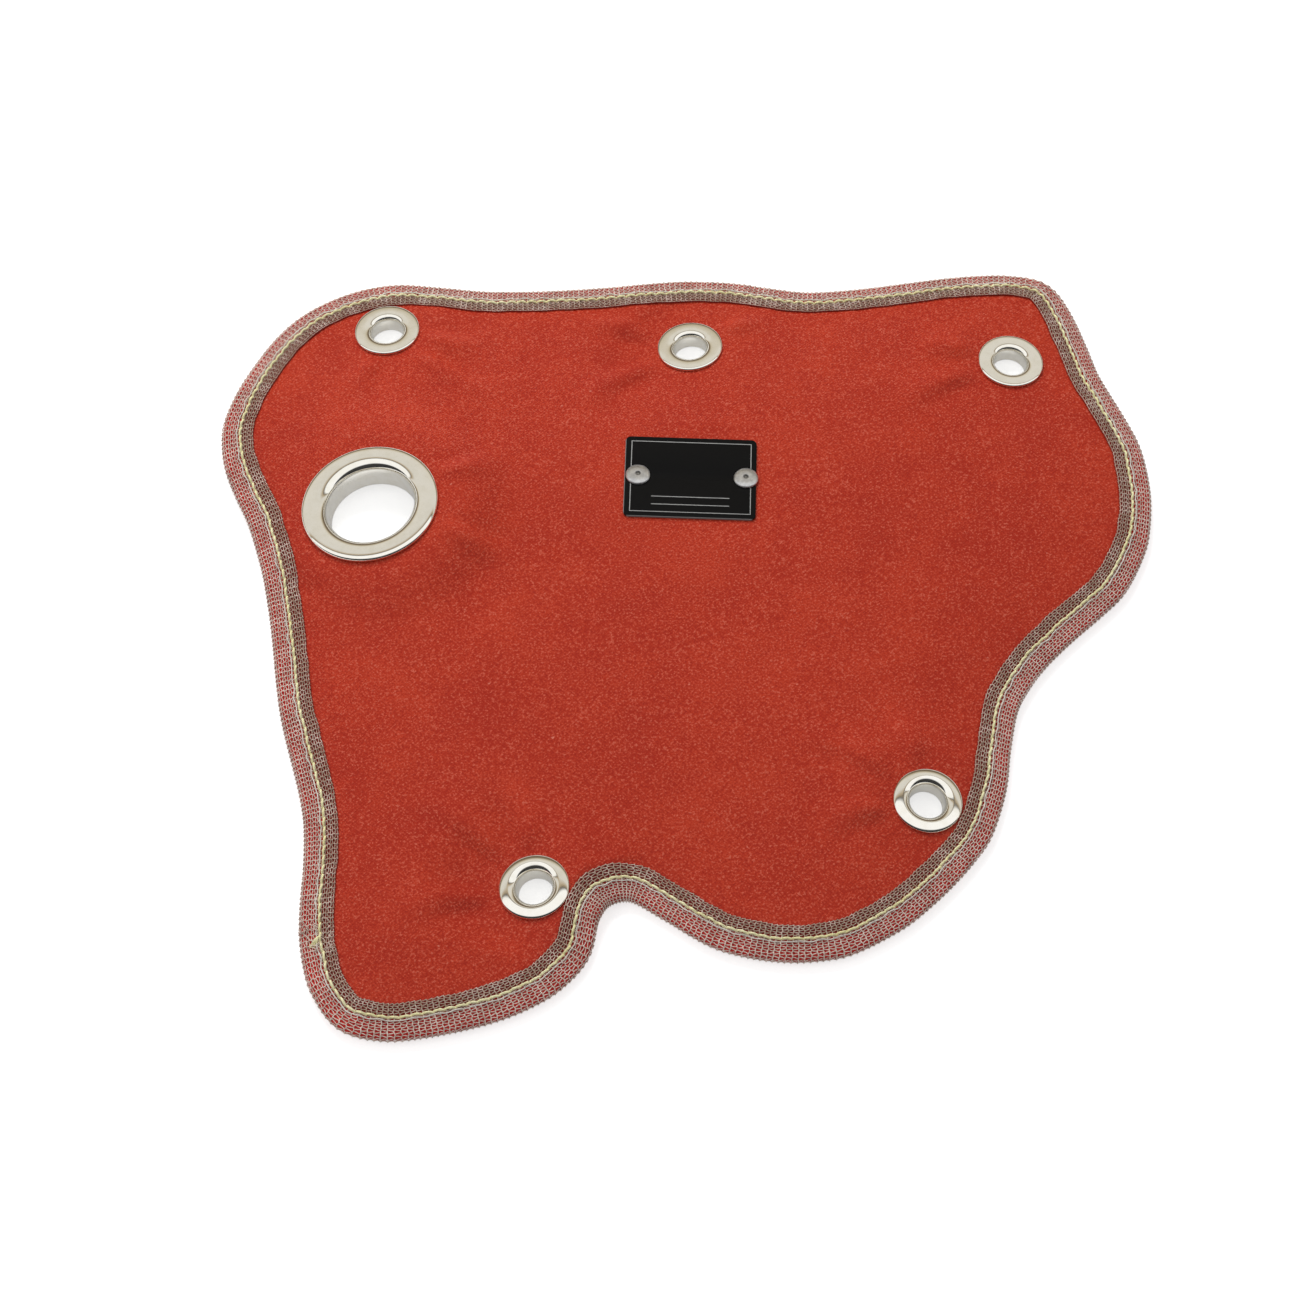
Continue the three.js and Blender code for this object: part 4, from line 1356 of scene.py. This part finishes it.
def addRivet(side):
    stack = Stack(side)
    seat = stack.top - rivetShape["rise"]
    head, shank, bore, bulb = (rivetShape[key] for key in ("head", "shank", "bore", "bulb"))
    washerUnder = -0.5 * mm
    rings = [
        (bore, stack.bottom),
        (bulb * 0.7, stack.bottom + 0.1 * mm),
        (bulb, stack.bottom + 1.1 * mm),
        (bulb * 0.95, washerUnder - 0.5 * mm),
        (shank, washerUnder),
        (shank, seat),
        (head - 0.1 * mm, seat),
        (head, seat + 0.12 * mm),
        (head - 0.12 * mm, seat + 0.5 * mm),
        (head * 0.82, seat + 0.95 * mm),
        (head * 0.55, seat + 1.2 * mm),
        (head * 0.3, stack.top),
        (bore + 0.12 * mm, stack.top - 0.05 * mm),
        (bore, stack.top - 0.25 * mm),
        (bore, stack.bottom),
    ]
    piece = drawRings("rivet_body_" + side, rings, rivetShape["sides"])
    mendNormals(piece, 0.002 * mm)
    stack.stand(piece, aluminiumPaint, "rivet", "plate_rivet_" + side)
    addWasher("rivet_washer_" + side, stack.axis, aluminiumPaint, "rivet", 40)
    addStem(side, stack)


def addStem(side, stack):
    corners = cornersOf("rivet_mandrel_" + side)
    along = (corners - stack.centre) @ stack.axis
    low, high = along.min(), along.max()
    stem = rivetShape["bore"] - 0.12 * mm
    rings = [
        (0.02 * mm, low),
        (1.2 * mm, low + 0.1 * mm),
        (1.5 * mm, low + 0.4 * mm),
        (1.5 * mm, low + 1.1 * mm),
        (stem, low + 1.2 * mm),
        (stem, high - 0.12 * mm),
        (stem * 0.7, high),
        (0.02 * mm, high - 0.05 * mm),
    ]
    piece = drawRings("rivet_stem_" + side, rings, 24)
    mendNormals(piece, 0.05 * mm)
    stack.stand(piece, steelPaint, "mandrel", "rivet_mandrel_" + side)


for side in ("left", "right"):
    addRivet(side)
print("the plate is riveted on")


seamLength + 0.04


# Floor, world and lamps
studio = {
    "floor": shade(236, 236, 236),
    "floorGlow": 0.62,
    "mirroredGlow": 0.3,
    "ambient": 0.43,
}
lamps = {
    "softboxBehind": {"at": (-0.35, 1.25, 1.1), "size": 0.9, "power": 19.0},
    "softboxLeft": {"at": (-1.2, -0.3, 1.3), "size": 0.9, "power": 3.0},
}

# What polished metal mirrors, from the north horizon over the top to the south one
roomMirror = [
    (0.0, (0.75, 0.73, 0.70)),
    (0.06, (0.62, 0.58, 0.52)),
    (0.09, (0.12, 0.09, 0.06)),
    (0.17, (0.22, 0.17, 0.11)),
    (0.21, (0.56, 0.50, 0.38)),
    (0.25, (0.72, 0.69, 0.62)),
    (0.35, (0.70, 0.68, 0.63)),
    (0.385, (0.45, 0.36, 0.24)),
    (0.405, (0.10, 0.09, 0.08)),
    (0.43, (1.0, 1.0, 0.98)),
    (0.72, (1.0, 1.0, 1.0)),
    (0.77, (0.05, 0.05, 0.05)),
    (1.0, (0.03, 0.03, 0.03)),
]


def addFloor():
    deselectAll()
    bpy.ops.mesh.primitive_plane_add(size=8, location=(0, 0, -0.0003))
    floor = bpy.context.object
    floor.name = "pale_floor"
    bpy.ops.object.transform_apply(location=True)
    paint = Paint("paleFloor")
    diffuse = paint.node("ShaderNodeBsdfDiffuse", None, {"Color": studio["floor"]})
    cameraRay, glossyRay = paint.rays()
    glow = (cameraRay + glossyRay * studio["mirroredGlow"]) * studio["floorGlow"]
    glow = paint.node("ShaderNodeEmission", None, {"Color": (1, 1, 1, 1), "Strength": glow})
    both = paint.node("ShaderNodeAddShader", None, {0: diffuse, 1: glow})
    end = paint.nodes.new("ShaderNodeOutputMaterial")
    paint.links.new(both.socket, end.inputs["Surface"])
    floor.data.materials.append(paint.material)


def addWorld():
    world = bpy.data.worlds.new("studioRoom")
    bpy.context.scene.world = world
    world.use_nodes = True
    tree = world.node_tree
    tree.nodes.clear()
    room = Paint.__new__(Paint)
    room.nodes, room.links = tree.nodes, tree.links
    where = room.node("ShaderNodeTexCoord", output=0)
    x, y, z = room.axes(where)
    rise = z.maths("ARCTAN2", z, y) / math.pi
    ramp = room.node("ShaderNodeValToRGB", {"stops": roomMirror}, {0: rise + x.size() * 0.02})
    cameraRay, glossyRay = room.rays()
    soft = (studio["ambient"],) * 3 + (1,)
    tone = room.blend(glossyRay, soft, ramp)
    tone = room.blend(cameraRay, tone, (1, 1, 1, 1))
    background = room.node("ShaderNodeBackground", None, {"Color": tone, "Strength": 1.0})
    end = tree.nodes.new("ShaderNodeOutputWorld")
    tree.links.new(background.socket, end.inputs["Surface"])


def addLamp(name, at, size, power):
    data = bpy.data.lights.new(name, "AREA")
    data.shape = "SQUARE"
    data.size = size
    data.energy = power
    lamp = bpy.data.objects.new(name, data)
    bpy.context.collection.objects.link(lamp)
    lamp.location = at
    lamp.rotation_euler = (-Vector(at)).to_track_quat("-Z", "Y").to_euler()
    lamp.visible_glossy = False


addFloor()
addWorld()
for name, lamp in lamps.items():
    addLamp(name, **lamp)
print("the studio is lit")
